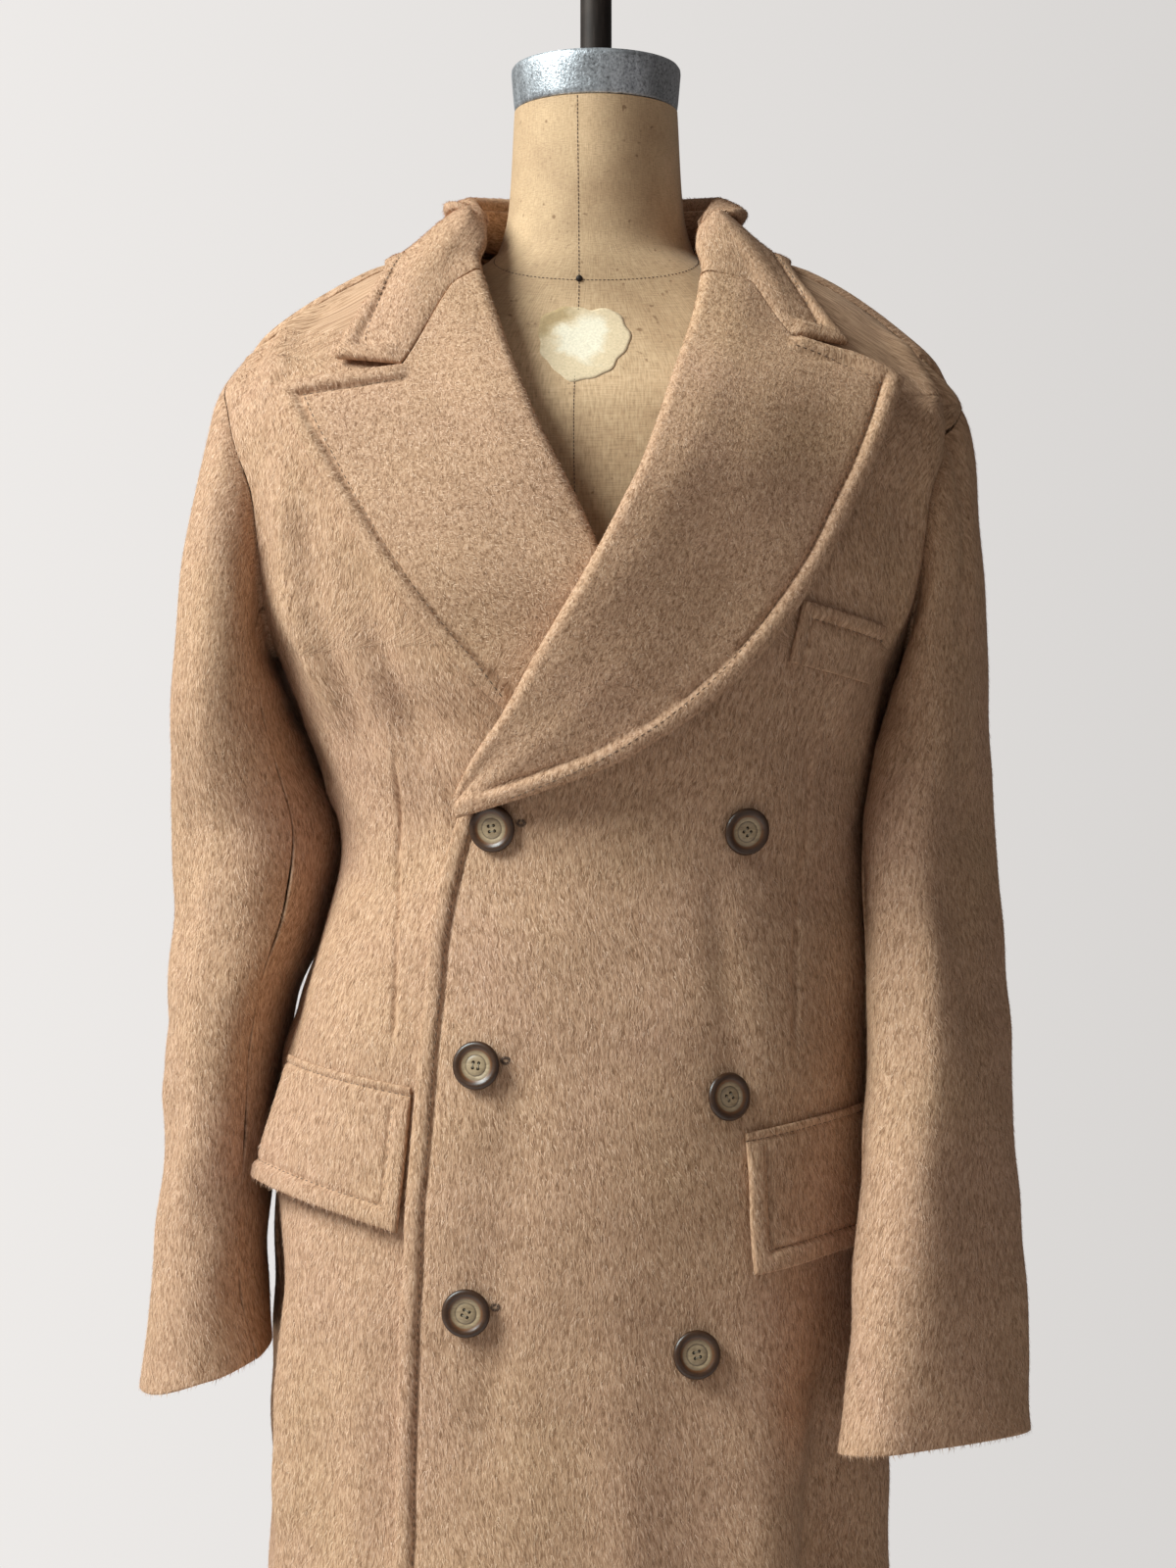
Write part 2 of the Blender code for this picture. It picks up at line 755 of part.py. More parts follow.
def make_collar(cloth):
    fall_shares = [k / FALL_ROWS for k in range(FALL_ROWS + 1)]
    stand_shares = [STAND_END_S * k / STAND_ROWS for k in range(STAND_ROWS + 1)]
    make_collar_part("collar_fall", fall_line, fall_shares, COLLAR_WALL, cloth)
    make_collar_part("collar_stand", stand_line, stand_shares, STAND_WALL, cloth)


def armhole_point(side, a):
    """Start of the sleeve at an angle round the armhole, just inside its edge."""
    centre, half = armhole(side)
    c = math.cos(math.radians(a))
    s = math.sin(math.radians(a))
    inset = SLEEVE_WALL / 2 + ARMHOLE_GAP - SHOULDER_EASE * max(0.0, s)
    reach = ARMHOLE_FRONT if c > 0 else ARMHOLE_BACK
    y = -(reach - inset) * c
    z = centre + (half - inset) * s
    angle = side_angle(y, z)
    return on_coat(angle if side == "right" else 180 - angle, z)


def sleeve_ring(side, drop, a):
    """Point of the hanging sleeve at a drop below its top."""
    table = SLEEVES[side]
    row = {name: table.at(drop, name) for name in table.columns}
    hand = 1 if side == "right" else -1
    turn = math.radians(row["turn"])
    front = Vector((hand * math.sin(turn), -math.cos(turn), 0))
    outer = Vector((hand * math.cos(turn), math.sin(turn), 0))
    c = math.cos(math.radians(a))
    s = math.sin(math.radians(a))
    centre = Vector((row["cx"], row["cy"], SLEEVE_TOP_Z - drop + row["tilt"] * s))
    return centre + front * (row["half_depth"] * c) + outer * (row["half_width"] * s)


def sleeve_point(side, v, a):
    """Point of a sleeve: v from 0 to 1 is the head, from 1 to 2 the arm."""
    length = SLEEVES[side].rows[-1][0]
    if v >= 1:
        return sleeve_ring(side, (v - 1) * length, a)
    hand = 1 if side == "right" else -1
    s = (math.sin(math.radians(a)) + 1) / 2
    out = mix(HEAD_TANGENT["low"][0], HEAD_TANGENT["top"][0], s)
    down = mix(HEAD_TANGENT["low"][1], HEAD_TANGENT["top"][1], s)
    start = armhole_point(side, a)
    end = sleeve_ring(side, 0, a)
    leave = Vector((hand * out, 0, down))
    drop = (sleeve_ring(side, HEIGHT_STEP, a) - end) / HEIGHT_STEP
    arrive = drop * max(ARRIVE_MIN, (start - end).length)
    h1 = v * v * (3 - 2 * v)
    return start * (1 - h1) + end * h1 + leave * (v * (1 - v) ** 2) - arrive * (v * v * (1 - v))


def sleeve_normal(side, v, a):
    across = sleeve_point(side, v, a + ANGLE_STEP) - sleeve_point(side, v, a - ANGLE_STEP)
    low = max(0.0, v - SHARE_STEP)
    high = min(2.0, v + SHARE_STEP)
    down = sleeve_point(side, high, a) - sleeve_point(side, low, a)
    normal = across.cross(down).normalized()
    return normal if side == "left" else -normal


def make_sleeve(name, side, first, last, columns, cloth):
    """Part of a sleeve between two seams."""
    margin = math.degrees(SEAM_GAP / 2 / SLEEVE_RADIUS)
    rows = [k / HEAD_ROWS for k in range(HEAD_ROWS)]
    rows += [1 + k / ARM_ROWS for k in range(ARM_ROWS + 1)]
    points = []
    normals = []
    for v in rows:
        angles = [mix(first + margin, last - margin, j / columns) for j in range(columns + 1)]
        points.append([sleeve_point(side, v, a) for a in angles])
        normals.append([sleeve_normal(side, v, a) for a in angles])
    return wall(name, points, SLEEVE_WALL, cloth, normals)


def make_sleeves(cloth):
    for side in ("left", "right"):
        front = SLEEVE_FRONT_SEAM
        back = SLEEVE_BACK_SEAM
        make_sleeve(f"sleeve_{side}_top", side, front, back, TOP_SLEEVE_COLUMNS, cloth)
        make_sleeve(f"sleeve_{side}_under", side, back, front + 360, UNDER_SLEEVE_COLUMNS, cloth)


def make_patch(name, corners, place, thickness, lift, stand, flare, cloth):
    """Small four-cornered piece laid on a panel; its lower edge and outer end stand off."""
    top_in, top_out, low_out, low_in = [Vector(c) for c in corners]
    points = []
    for i in range(PATCH_ROWS + 1):
        v = i / PATCH_ROWS
        line = []
        for j in range(PATCH_COLUMNS + 1):
            u = j / PATCH_COLUMNS
            spot = patch_mix(low_in, low_out, top_in, top_out, u, v)
            rise = stand * (1 - v) ** 2 + flare * u * u * (1 - v)
            line.append(place(spot.x, spot.y, lift + rise))
        points.append(line)
    return wall(name, points, thickness, cloth)


def make_patches(cloth):
    make_patch("flap_over", FLAP_OVER, on_over, FLAP_WALL, FLAP_LIFT, FLAP_STAND, 0.0, cloth)
    make_patch("flap_under", FLAP_UNDER, on_under, FLAP_WALL, FLAP_LIFT, FLAP_STAND, FLAP_FLARE, cloth)
    make_patch("breast_welt", BREAST_WELT, on_over, WELT_WALL, WELT_LIFT, 0.0, 0.0, cloth)


def lathe(name, profile, steps, finish, place=None, parent=None):
    """Turned solid from a profile of radius and height, top to bottom."""
    shape = bmesh.new()
    top = shape.verts.new((0, 0, profile[0][1]))
    bottom = shape.verts.new((0, 0, profile[-1][1]))
    rings = []
    for radius, z in profile[1:-1]:
        ring = []
        for k in range(steps):
            a = 2 * math.pi * k / steps
            ring.append(shape.verts.new((radius * math.cos(a), radius * math.sin(a), z)))
        rings.append(ring)
    for k in range(steps):
        n = (k + 1) % steps
        shape.faces.new((top, rings[0][k], rings[0][n]))
        shape.faces.new((bottom, rings[-1][n], rings[-1][k]))
        for upper, lower in zip(rings, rings[1:]):
            shape.faces.new((upper[k], lower[k], lower[n], upper[n]))
    bmesh.ops.recalc_face_normals(shape, faces=shape.faces)
    if place:
        bmesh.ops.transform(shape, matrix=place, verts=shape.verts)
    return add_object(name, shape, finish, parent)


def make_buttons(horn, coat):
    for index, (x, z) in enumerate(BUTTONS):
        spot = on_over(x, z, BUTTON_LIFT)
        normal = surface_normal(front_angle(x, z), z, over_lift)
        turn = normal.to_track_quat("Z", "Y").to_matrix().to_4x4()
        turn.translation = spot
        lathe(f"button_{index + 1}", BUTTON_PROFILE, BUTTON_STEPS, horn, turn, coat)


def form_ring(shape, z):
    """Ring of the torso at one of its heights."""
    row = {name: FORM_RINGS.at(z, name) for name in FORM_RINGS.columns}
    power = 2 / row["power"]
    ring = []
    for k in range(FORM_STEPS):
        c = math.cos(2 * math.pi * k / FORM_STEPS)
        s = math.sin(2 * math.pi * k / FORM_STEPS)
        depth = row["front"] if s < 0 else row["back"]
        x = row["half_width"] * math.copysign(abs(c) ** power, c)
        ring.append(shape.verts.new((x, depth * math.copysign(abs(s) ** power, s), z)))
    return ring


def make_torso(linen):
    shape = bmesh.new()
    rings = [form_ring(shape, z) for z in FORM_RINGS.column("z")]
    for lower, upper in zip(rings, rings[1:]):
        for k in range(FORM_STEPS):
            n = (k + 1) % FORM_STEPS
            shape.faces.new((lower[k], lower[n], upper[n], upper[k]))
    shape.faces.new(rings[0])
    shape.faces.new(rings[-1])
    bmesh.ops.recalc_face_normals(shape, faces=shape.faces)
    add_object("form_torso", shape, linen)


def rod_profile(radius, low, high):
    inner = radius - POLE_CHAMFER
    return [(0, high), (inner, high), (radius, high - POLE_CHAMFER), (radius, low), (0, low)]


def make_stand(metal, steel):
    lathe("neck_cap", CAP_PROFILE, FORM_STEPS, metal)
    lathe("top_pole", rod_profile(TOP_POLE_R, *TOP_POLE_Z), POLE_STEPS, steel)
    lathe("stand_pole", rod_profile(STAND_POLE_R, *STAND_POLE_Z), POLE_STEPS, steel)
    lathe("stand_base", BASE_PROFILE, FORM_STEPS, steel)


def main():
    for old in list(bpy.data.objects):
        bpy.data.objects.remove(old)
    coat = add_empty("coat", COAT_X)
    cloth = Cloth(material("camel_cloth", CAMEL, 0.95), coat)
    make_panels(cloth)
    make_lapels(cloth)
    make_collar(cloth)
    make_sleeves(cloth)
    make_patches(cloth)
    make_buttons(material("horn", HORN, 0.3), coat)
    make_torso(material("linen", LINEN, 0.9))
    metal = material("cast_metal", CAST_METAL, 0.5, 1.0)
    make_stand(metal, material("dark_steel", DARK_STEEL, 0.45, 0.6))


main()
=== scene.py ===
"""Looks of a double-breasted camel overcoat on a dress form.

Run as a script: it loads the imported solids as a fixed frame, makes every cloth
piece as a thin shell on its solid's form, with its nap and its sewing, and
finishes the buttons, the dress form, the stand and the stage.

Tables are in millimetres in the coat's own frame, as in the part's source:
left is -X, the front faces -Y. A place on the coat has an angle round the ring
(0 at the right side seam, 90 at the front, 180 at the left, -90 at the back),
a height, and a lift outwards from the surface.
"""

import math

import bmesh
import bpy
import numpy as np
from bpy.props import FloatProperty, FloatVectorProperty, IntProperty, PointerProperty
from mathutils import Matrix, Vector


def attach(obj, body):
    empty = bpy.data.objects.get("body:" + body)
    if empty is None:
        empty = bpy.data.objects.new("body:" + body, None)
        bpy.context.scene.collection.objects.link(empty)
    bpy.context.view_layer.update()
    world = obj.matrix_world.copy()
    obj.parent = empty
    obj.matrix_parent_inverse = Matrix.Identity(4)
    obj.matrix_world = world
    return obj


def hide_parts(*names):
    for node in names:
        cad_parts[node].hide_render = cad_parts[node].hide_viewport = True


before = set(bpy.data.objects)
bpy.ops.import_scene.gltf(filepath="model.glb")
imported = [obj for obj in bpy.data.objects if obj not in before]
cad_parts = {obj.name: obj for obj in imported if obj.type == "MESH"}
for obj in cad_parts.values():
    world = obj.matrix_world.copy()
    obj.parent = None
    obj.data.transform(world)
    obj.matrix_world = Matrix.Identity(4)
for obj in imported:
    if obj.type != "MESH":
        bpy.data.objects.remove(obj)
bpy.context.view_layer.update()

bl_info = {
    "name": "Camel Overcoat",
    "version": (1, 0, 0),
    "blender": (4, 5, 0),
    "location": "View3D > Sidebar > Overcoat",
    "description": "Dresses the overcoat and its form with cloth, nap, sewing and finishes",
    "category": "Object",
}

MM = 0.001
BODY = "root"
UV_NAME = "cloth"

# The coat hangs a little to the left of the form's middle.
COAT_X = -5.0

# Heights and armholes of the coat, as in the part's source.
HEM_Z = 290.0
ARMPIT_Z = 1190.0
NECK_Z = 1448.0
SHOULDER_Z = {"left": 1364.0, "right": 1344.0}
ARMHOLE_FRONT = 66.0
ARMHOLE_BACK = 72.0
SHOULDER_FORWARD = 22.0
SHOULDER_RAMP = 34.0
SHOULDER_FADE_Z = (1422.0, 1444.0)
SEAM_GAP = 0.4
ANGLE_STEP = 1.5
HEIGHT_STEP = 3.0


class Table:
    """Rows of named columns, read smoothly at any value of the first column."""

    def __init__(self, columns, rows):
        self.columns = columns
        self.rows = np.array(rows, float)

    def column(self, name):
        return self.rows[:, self.columns.index(name)]

    def at(self, key, name):
        keys = self.rows[:, 0]
        values = self.column(name)
        spans = np.diff(keys)
        rises = np.diff(values) / spans
        slopes = np.concatenate((rises[:1], rises))
        product = rises[:-1] * rises[1:]
        rising = product > 0
        slopes[1:-1] = np.where(rising, 2 * product / np.where(rising, rises[:-1] + rises[1:], 1), 0)
        key = np.clip(key, keys[0], keys[-1])
        i = np.clip(np.searchsorted(keys, key, side="right") - 1, 0, len(keys) - 2)
        f = (key - keys[i]) / spans[i]
        start = (1 + 2 * f) * (1 - f) ** 2 * values[i] + f * (1 - f) ** 2 * slopes[i] * spans[i]
        end = f * f * (3 - 2 * f) * values[i + 1] - f * f * (1 - f) * slopes[i + 1] * spans[i]
        return start + end


COAT_RINGS = Table(
    ("z", "half_width", "front", "back", "shift", "power"),
    [
        (290, 214, 172, 172, -7, 2.1),
        (450, 203, 164, 164, -8, 2.1),
        (620, 191.5, 156, 156, -9, 2.1),
        (740, 193, 153, 152, -8, 2.1),
        (860, 190, 150, 148, -6, 2.15),
        (945, 184, 146, 140, -1, 2.15),
        (1012, 172, 136, 122, 6, 2.15),
        (1075, 162, 127, 108, 11, 2.15),
        (1135, 172, 134, 110, 6, 2.2),
        (1180, 188, 142, 117, 1, 2.2),
        (1225, 208, 145, 121, 0, 2.2),
        (1285, 224, 138, 121, 0, 2.2),
        (1325, 234, 126, 114, 0, 2.2),
        (1344, 232.5, 116, 108, -0.5, 2.15),
        (1364, 219, 103, 101, -2, 2.1),
        (1384, 201, 91, 95, -2, 2.1),
        (1401, 179.5, 82, 90, -1.5, 2.1),
        (1424, 140, 69, 83, 0, 2.1),
        (1438, 102, 62, 78, 0, 2.1),
        (1448, 78, 57, 74, 2, 2.1),
        (1465, 71, 55, 72, 4, 2.1),
        (1495, 70, 56, 73, 4, 2.1),
    ],
)

# Long folds, as in the part's source: angle, drift down to the hem, half width, depth, and the heights
# where a fold starts, is full and ends. Positive depth stands out, negative is a trough.
FOLD_END_SPAN = 50.0
FOLDS = [
    (57, -3, 9, 13, 860, 640, 0),
    (39, -2, 9, -26, 880, 600, 0),
    (18, 0, 10, 9, 850, 500, 0),
    (154, 2, 8, 8, 880, 640, 0),
    (171, 1, 11, -24, 900, 740, 0),
    (118, 3, 10, -5, 700, 400, 0),
    (-20, 0, 10, -10, 900, 480, 0),
    (-46, 2, 12, 14, 980, 480, 0),
    (-68, 0, 10, -11, 950, 480, 0),
    (-92, 0, 11, 11, 930, 480, 0),
    (-114, 0, 10, -11, 950, 480, 0),
    (-138, -2, 12, 13, 980, 480, 0),
    (-160, 0, 9, 13, 900, 600, 0),
    (146, 0, 6, 6, 1330, 1230, 1130),
    (132, -4, 6, 5, 1260, 1180, 1090),
    (140, 0, 5, -4, 1300, 1220, 1120),
    (38, 0, 7, 5, 1320, 1240, 1130),
    (-60, 0, 10, 6, 1350, 1260, 1140),
    (-120, 0, 10, 6, 1350, 1260, 1140),
]

# Soft creases of the body: angle and height of both ends, width and depth.
CREASES = [
    (23, 1385, 30, 1318, 9, 5.5),
    (30, 1330, 25, 1190, 10, 5.0),
    (16, 1388, 20, 1312, 8, -6.0),
    (20, 1325, 15, 1205, 8, -5.5),
    (157, 1400, 141, 1348, 8, 5.0),
    (164, 1394, 150, 1342, 8, -5.5),
    (152, 1300, 147, 1190, 9, -3.6),
    (141, 1300, 146, 1150, 12, 6.0),
    (130, 1240, 124, 1120, 13, -6.5),
    (126, 1150, 121, 1000, 9, 2.4),
    (158, 1160, 138, 1090, 10, -2.4),
    (160, 1110, 135, 1062, 9, 2.0),
    (163, 1060, 132, 1040, 9, -2.2),
    (34, 1290, 40, 1170, 9, -2.4),
    (22, 1160, 44, 1100, 10, -2.4),
    (18, 1100, 50, 1066, 9, 1.8),
    (20, 1050, 55, 1035, 10, -2.0),
    (70, 1060, 62, 900, 10, -2.4),
    (100, 960, 104, 700, 14, -2.8),
    (84, 820, 78, 420, 16, 3.2),
    (128, 830, 132, 420, 14, 2.8),
    (2, 1108, 2, 1192, 18, 5.5),
    (178, 1095, 178, 1158, 16, 4.5),
    (178, 935, 178, 990, 14, 2.5),
    (-30, 1230, -62, 1130, 12, -3.0),
    (-150, 1230, -118, 1130, 12, -3.0),
    (-35, 1120, -80, 1085, 11, -2.6),
    (-145, 1120, -100, 1085, 11, -2.6),
    (-40, 1060, -75, 1045, 11, 2.2),
    (-140, 1060, -105, 1045, 11, 2.2),
    (-80, 1330, -84, 1150, 12, -1.8),
    (-100, 1330, -96, 1150, 12, -1.8),
]
MM_PER_DEGREE = 3.0

# Small swells that keep the cloth from looking pressed: wave numbers, phase and height.
SWELLS = [
    (0.061, 0.031, 0.4, 0.95),
    (0.137, -0.047, 1.9, 0.7),
    (-0.093, 0.083, 3.1, 0.6),
    (0.221, 0.019, 4.4, 0.35),
    (0.049, 0.121, 5.2, 0.3),
]
SWELL_CALM_Z = (1385.0, 1430.0)

# A soft line grows wider and narrower in waves along it, and fades at both ends.
LINE_WANDER = 0.25
LINE_WAVES = 9.0
LINE_FADE_IN = (-0.12, 0.2)
LINE_FADE_OUT = (0.75, 1.1)

# Free edges of the over front and the under front.
OVER_EDGE = Table(
    ("z", "x"),
    [
        (290, -115), (668, -110), (800, -106), (929, -99), (1025, -88), (1094, -74),
        (1170, -37), (1251, 5), (1340, 45), (1413, 73), (1448, 79),
    ],
)
UNDER_EDGE = Table(
    ("z", "x"),
    [(290, 82), (900, 80), (1096, 66), (1170, 38), (1251, 5), (1321, -28), (1413, -62), (1448, -75)],
)
OVER_LIFT = 4.4
OVER_LIFT_FULL_X = 92.0
OVER_LIFT_END_X = 148.0
OVER_LIFT_FADE_Z = (1320.0, 1410.0)
ROLL_LIFT = 9.0
ROLL_LIFT_Z = (1100.0, 1143.0)
ROLL_LIFT_FADE_Z = (1262.0, 1350.0)
ROLL_LIFT_REACH = 95.0

# Darts of the fronts, by height and place across.
DARTS = {
    "over": Table(("z", "x"), [(290, 112), (960, 118), (1040, 122), (1110, 130), (1448, 100)]),
    "under": Table(("z", "x"), [(290, -118), (960, -113), (1040, -112), (1140, -112), (1448, -95)]),
}
DART_DEPTH = 2.4
DART_WIDTH = 1.8
DART_FADE_IN = (952.0, 972.0)
DART_FADE_OUT = (1105.0, 1135.0)
DART_MARGIN = 6.0
DART_SHARES = (0.12, 0.88)

# Rows and columns of the body panels, and where their sewing and nap end.
SKIRT_ROWS = 128
ARCH_ROWS = 30
SHOULDER_ROWS = 26
NECK_MARGIN = 1.5
ROW_LEAST = 1.2
PANEL_PITCH = 5.5
SIDE_WIDTH = 120.0
FRONT_WIDTH = {"over": 230.0, "under": 200.0}
BACK_WIDTH = 590.0
BACK_PITCH = 6.0
EDGE_END_Z = (1085.0, 1104.0)
EDGE_SEWN_Z = 1096.0
BACK_NAP_Z = 1428.0

# Cloth under another piece has no nap, from this far inside or outside its outline.
LAPEL_COVER = -3.0
POCKET_COVER = 10.0
OVERLAP_COVER = 12.0

# Rolled edge of the back on the shoulder seam, and the front that sinks beside it.
SHOULDER_ROLL = 4.6
SHOULDER_ROLL_AT = 6.0
SHOULDER_ROLL_WIDTH = 6.0
SHOULDER_ROLL_RISE = (-2.0, 26.0)
SHOULDER_SINK = 1.2
FRONT_SINK = (0.8, 2.4)
FRONT_SINK_WIDTH = 5.0
FRONT_SINK_RISE = 30.0

# Lapels: heights of the roll line, outer edge from the bottom up, bends of the top edge.
OVER_LAPEL = {
    "roll_z": (1101, 1411),
    "belly": [(-71, 1092), (-33, 1105), (25, 1127), (80, 1168), (120, 1215), (152, 1270), (184, 1346)],
    "top": [(95, 1406.3), (118, 1372.6), (155, 1361.5)],
    "low_stand": 4.4,
}
UNDER_LAPEL = {
    "roll_z": (1180, 1411),
    "belly": [(-38, 1143), (-86, 1193), (-120, 1236), (-150, 1284), (-183, 1343)],
    "top": [(-79, 1403.2), (-108.7, 1354)],
    "low_stand": 0.0,
}
LAPEL_LIFT = 6.0
LAPEL_ROLL_DROP = 1.5
LAPEL_ROLL_OUT = 1.5
LAPEL_TUCK = 18.0
LAPEL_ROLL_U = (0.0, 0.18)
LAPEL_ROLL_V = (0.0, 0.3)
LAPEL_LOW_U = (0.1, 0.5)
LAPEL_LOW_V = (0.25, 0.6)
LAPEL_EDGE_STAND = 2.0
LAPEL_EDGE_U = (0.7, 1.0)
LAPEL_BULGE = 3.7
LAPEL_BULGE_U = (0.0, 0.4)
ROLL_RADIUS = 4.6
ROLL_SMALL = 0.35
ROLL_FULL_Z = {"over": (1100.0, 1150.0), "under": (1180.0, 1230.0)}
# A rolled edge from its hidden end to the edge: share of its turn, share of the tail past it.
ROLL_PLACES = [(1, 1), (1, 0.5), (0.95, 0), (0.81, 0), (0.67, 0), (0.53, 0), (0.39, 0), (0.25, 0), (0.11, 0)]
ROLL_TURN = math.radians(172.0)
LAPEL_TAIL = 3.0
# The lapel as a sheet: its size, its lines of points, its growing roll and its sewing.
LAPEL_SIZE = (135.0, 330.0)
LAPEL_PITCH = 4.5
LAPEL_ROLL_STEPS = (0, 2, 5, 10)
LAPEL_FOOT_STEPS = (0, 0.4, 1.0, 1.8, 4.0)
LAPEL_ROLL_GROWS_V = (0.0, 0.25)
LAPEL_SWELLS_AT = (18.0, 40.0)
LAPEL_SEWN_V = 0.12
LAPEL_LEAN = 0.75
ROLL_SHIFT = {
    "over": Table(
        ("z", "x"),
        [(1100, 0), (1150, 2), (1195, 4.6), (1238, 8), (1281, 9.5), (1320, 7), (1354, 3.7), (1411, -3)],
    ),
    "under": Table(("z", "x"), [(1180, 0), (1240, -4), (1281, -4.5), (1354, -5), (1411, -3)]),
}
CORNER_EASE = 0.06
# Edges that are sewn to another piece meet it almost square.
SEWN_SOFT = 0.6
EDGE_SOFT = 2.6
COLLAR_PUFF = 3.0
LAPEL_PUFF = 3.8
FRONT_PUFF = 3.0
GORGE_REACH = 6.0

# Collar from the centre back to the front of the neck, right side; the left is its mirror.
COLLAR = Table(
    ("s", "base_angle", "base_z", "fold_angle", "fold_z", "edge_angle", "edge_z", "mid_lift"),
    [
        (0.0, -90, 1450, -90, 1490, -90, 1417, 15.0),
        (0.3, -45, 1450, -45, 1487, -42, 1423, 17.0),
        (0.55, 0, 1450, 0, 1477, 0, 1432, 20.0),
        (0.66, 22, 1449.5, 20, 1468, 22, 1427, 21.0),
        (0.78, 38.5, 1445, 33, 1456, 37, 1419, 17.0),
        (0.89, 56, 1430, 46, 1440, 43, 1400, 10.5),
        (1.0, 66, 1412, 61, 1420, 46, 1372, 6.6),
    ],
)
FALL_END_S = 0.72
STAND_MARGIN = 3.0
FOLD_MARGIN = 1.5
STAND_LIFT = -1.5
STAND_END_S = 0.7
STAND_TOP = 0.88
STAND_BELOW = 3.0
FOLD_LIFT = 9.0
FOLD_END_LIFT = 8.2
FOLD_LIFT_S = (0.6, 0.95)
FOLD_SETTLES = (0.7, 0.3)
FOLD_RADIUS = 5.4
FOLD_LOWER = Table(
    ("s", "drop"), [(0, 1.5), (0.35, 1.8), (0.55, 2), (0.66, 2), (0.78, 1.5), (0.89, 1), (1, 0)]
)
FOLD_ROLL_S = (0.6, 0.95)
FOLD_TAIL = (12.0, 2.0)
FALL_LIFT = (3.9, 6.6)
FALL_LIFT_S = (0.66, 0.95)
FALL_BULGE = 6.75
# The fall and the stand of the collar as sheets.
FALL_SIZE = (330.0, 78.0)
FALL_PITCH = (4.5, 3.6)
FALL_FOLD_STEPS = (0, 2.0, 4.5)
FALL_BACK_PUFF = 0.3
FALL_FREE = 0.06
STAND_SIZE = (190.0, 36.0)
STAND_PITCH = 5.0
STAND_STEPS = (0, 0.4, 1.0, 2.0)
COLLAR_FRONT = {
    "left": [(-67.5, 1412), (-80, 1404), (-109.5, 1355), (-148, 1359)],
    "right": [(72.5, 1412), (95.6, 1407), (118.6, 1373.2), (153, 1368)],
}

# Sleeves below the armhole: centre, half sizes, turn of the section, cuff slope.
SLEEVE_COLUMNS = ("drop", "cx", "cy", "half_width", "half_depth", "turn", "tilt")
SLEEVES = {
    "left": Table(
        SLEEVE_COLUMNS,
        [
            (0, -214, 6, 39, 70, 8, 0),
            (50, -205, 24, 50, 67, 14, 0),
            (94, -208.5, 22, 46, 66, 13, 0),
            (150, -221, 6, 34.5, 65, 8, 0),
            (230, -227, 0, 30, 63, 5, 0),
            (320, -235, -8, 32.5, 61, 2, -5),
            (379, -236, -14, 38.5, 58, -8, -14),
        ],
    ),
    "right": Table(
        SLEEVE_COLUMNS,
        [
            (0, 214.5, -8, 29.2, 68, -21, 0),
            (45, 210.6, -17, 30.1, 67, -27, 0),
            (80, 211.7, -26, 31, 66, -27, 0),
            (130, 211.5, -46, 33, 65, -26, 0),
            (220, 210, -78, 35, 64, -30, 0),
            (320, 207, -104, 35, 63, -43, 0),
            (404, 203, -116, 35, 64, -57, 6),
        ],
    ),
}
SLEEVE_TOP_Z = 1130.0
HEAD_TANGENT = {"top": (46.0, -72.0), "low": (40.0, 14.0)}
HEAD_AHEAD = 45.0
SLEEVE_SQUARE = 0.86
SLEEVE_SEAMS = (-44.0, 202.0)
SLEEVE_RADIUS = 30.0
SHOULDER_EASE = 0.5
ARMHOLE_GAP = 0.1
ARRIVE_MIN = 40.0
SLEEVE_MM_PER_DEGREE = 0.85
HEAD_LENGTH = 190.0
# A sleeve part as a sheet, and how its creases and swells set in.
SLEEVE_WIDTH = {"top": 245.0, "under": 110.0}
SLEEVE_PITCH = (5.0, 5.5)
SLEEVE_SWELL = 0.8
SLEEVE_SWELL_TURN = 0.6
SLEEVE_SOFT_FROM = (4.0, 40.0)

# Soft creases of the sleeves: turn round the arm and distance down of both ends, width and depth.
SLEEVE_CREASES = {
    "left": [
        (62, 60, 52, 520, 15, 2.0),
        (24, 150, 34, 480, 12, -2.4),
        (120, 90, 132, 420, 16, -1.8),
        (95, 330, 40, 372, 12, -2.0),
        (110, 372, 46, 410, 11, 1.6),
        (150, 300, 195, 350, 13, -2.2),
    ],
    "right": [
        (30, 120, 26, 560, 14, 2.0),
        (66, 160, 74, 560, 15, -2.2),
        (118, 120, 124, 480, 16, 1.8),
        (100, 320, 52, 352, 12, -2.2),
        (108, 356, 60, 392, 11, 1.6),
        (150, 320, 198, 372, 13, -2.4),
    ],
}

# Flaps and welt as four corners: top inner, top outer, low outer, low inner.
FLAP_OVER = [(88, 909), (163, 920), (166, 838), (90, 828)]
FLAP_UNDER = [(-101, 934), (-177, 945), (-188, 870), (-106, 851)]
BREAST_WELT = [(123, 1218), (172, 1206), (164, 1171), (113, 1182)]
FLAP_LIFT = 3.8
FLAP_STAND = 5.0
FLAP_FLARE = 9.0
WELT_LIFT = 3.6
# The flaps and the welt as sheets.
FLAP_SIZE = (80.0, 82.0)
FLAP_PITCH = 4.0
FLAP_PUFF = 1.5
FLAP_PUFF_FROM_TOP = (8.0, 16.0)
FLAP_TOP_SEWING = (1.4, 1.0)
WELT_SIZE = (50.0, 36.0)
WELT_PITCH = 3.0
WELT_PUFF = 1.3

# Cloth walls, half thick.
PANEL_HALF = 1.5
LAPEL_HALF = 1.8
COLLAR_HALF = 1.5
STAND_HALF = 1.2
FLAP_HALF = 1.5
WELT_HALF = 1.0
SLEEVE_HALF = 1.5

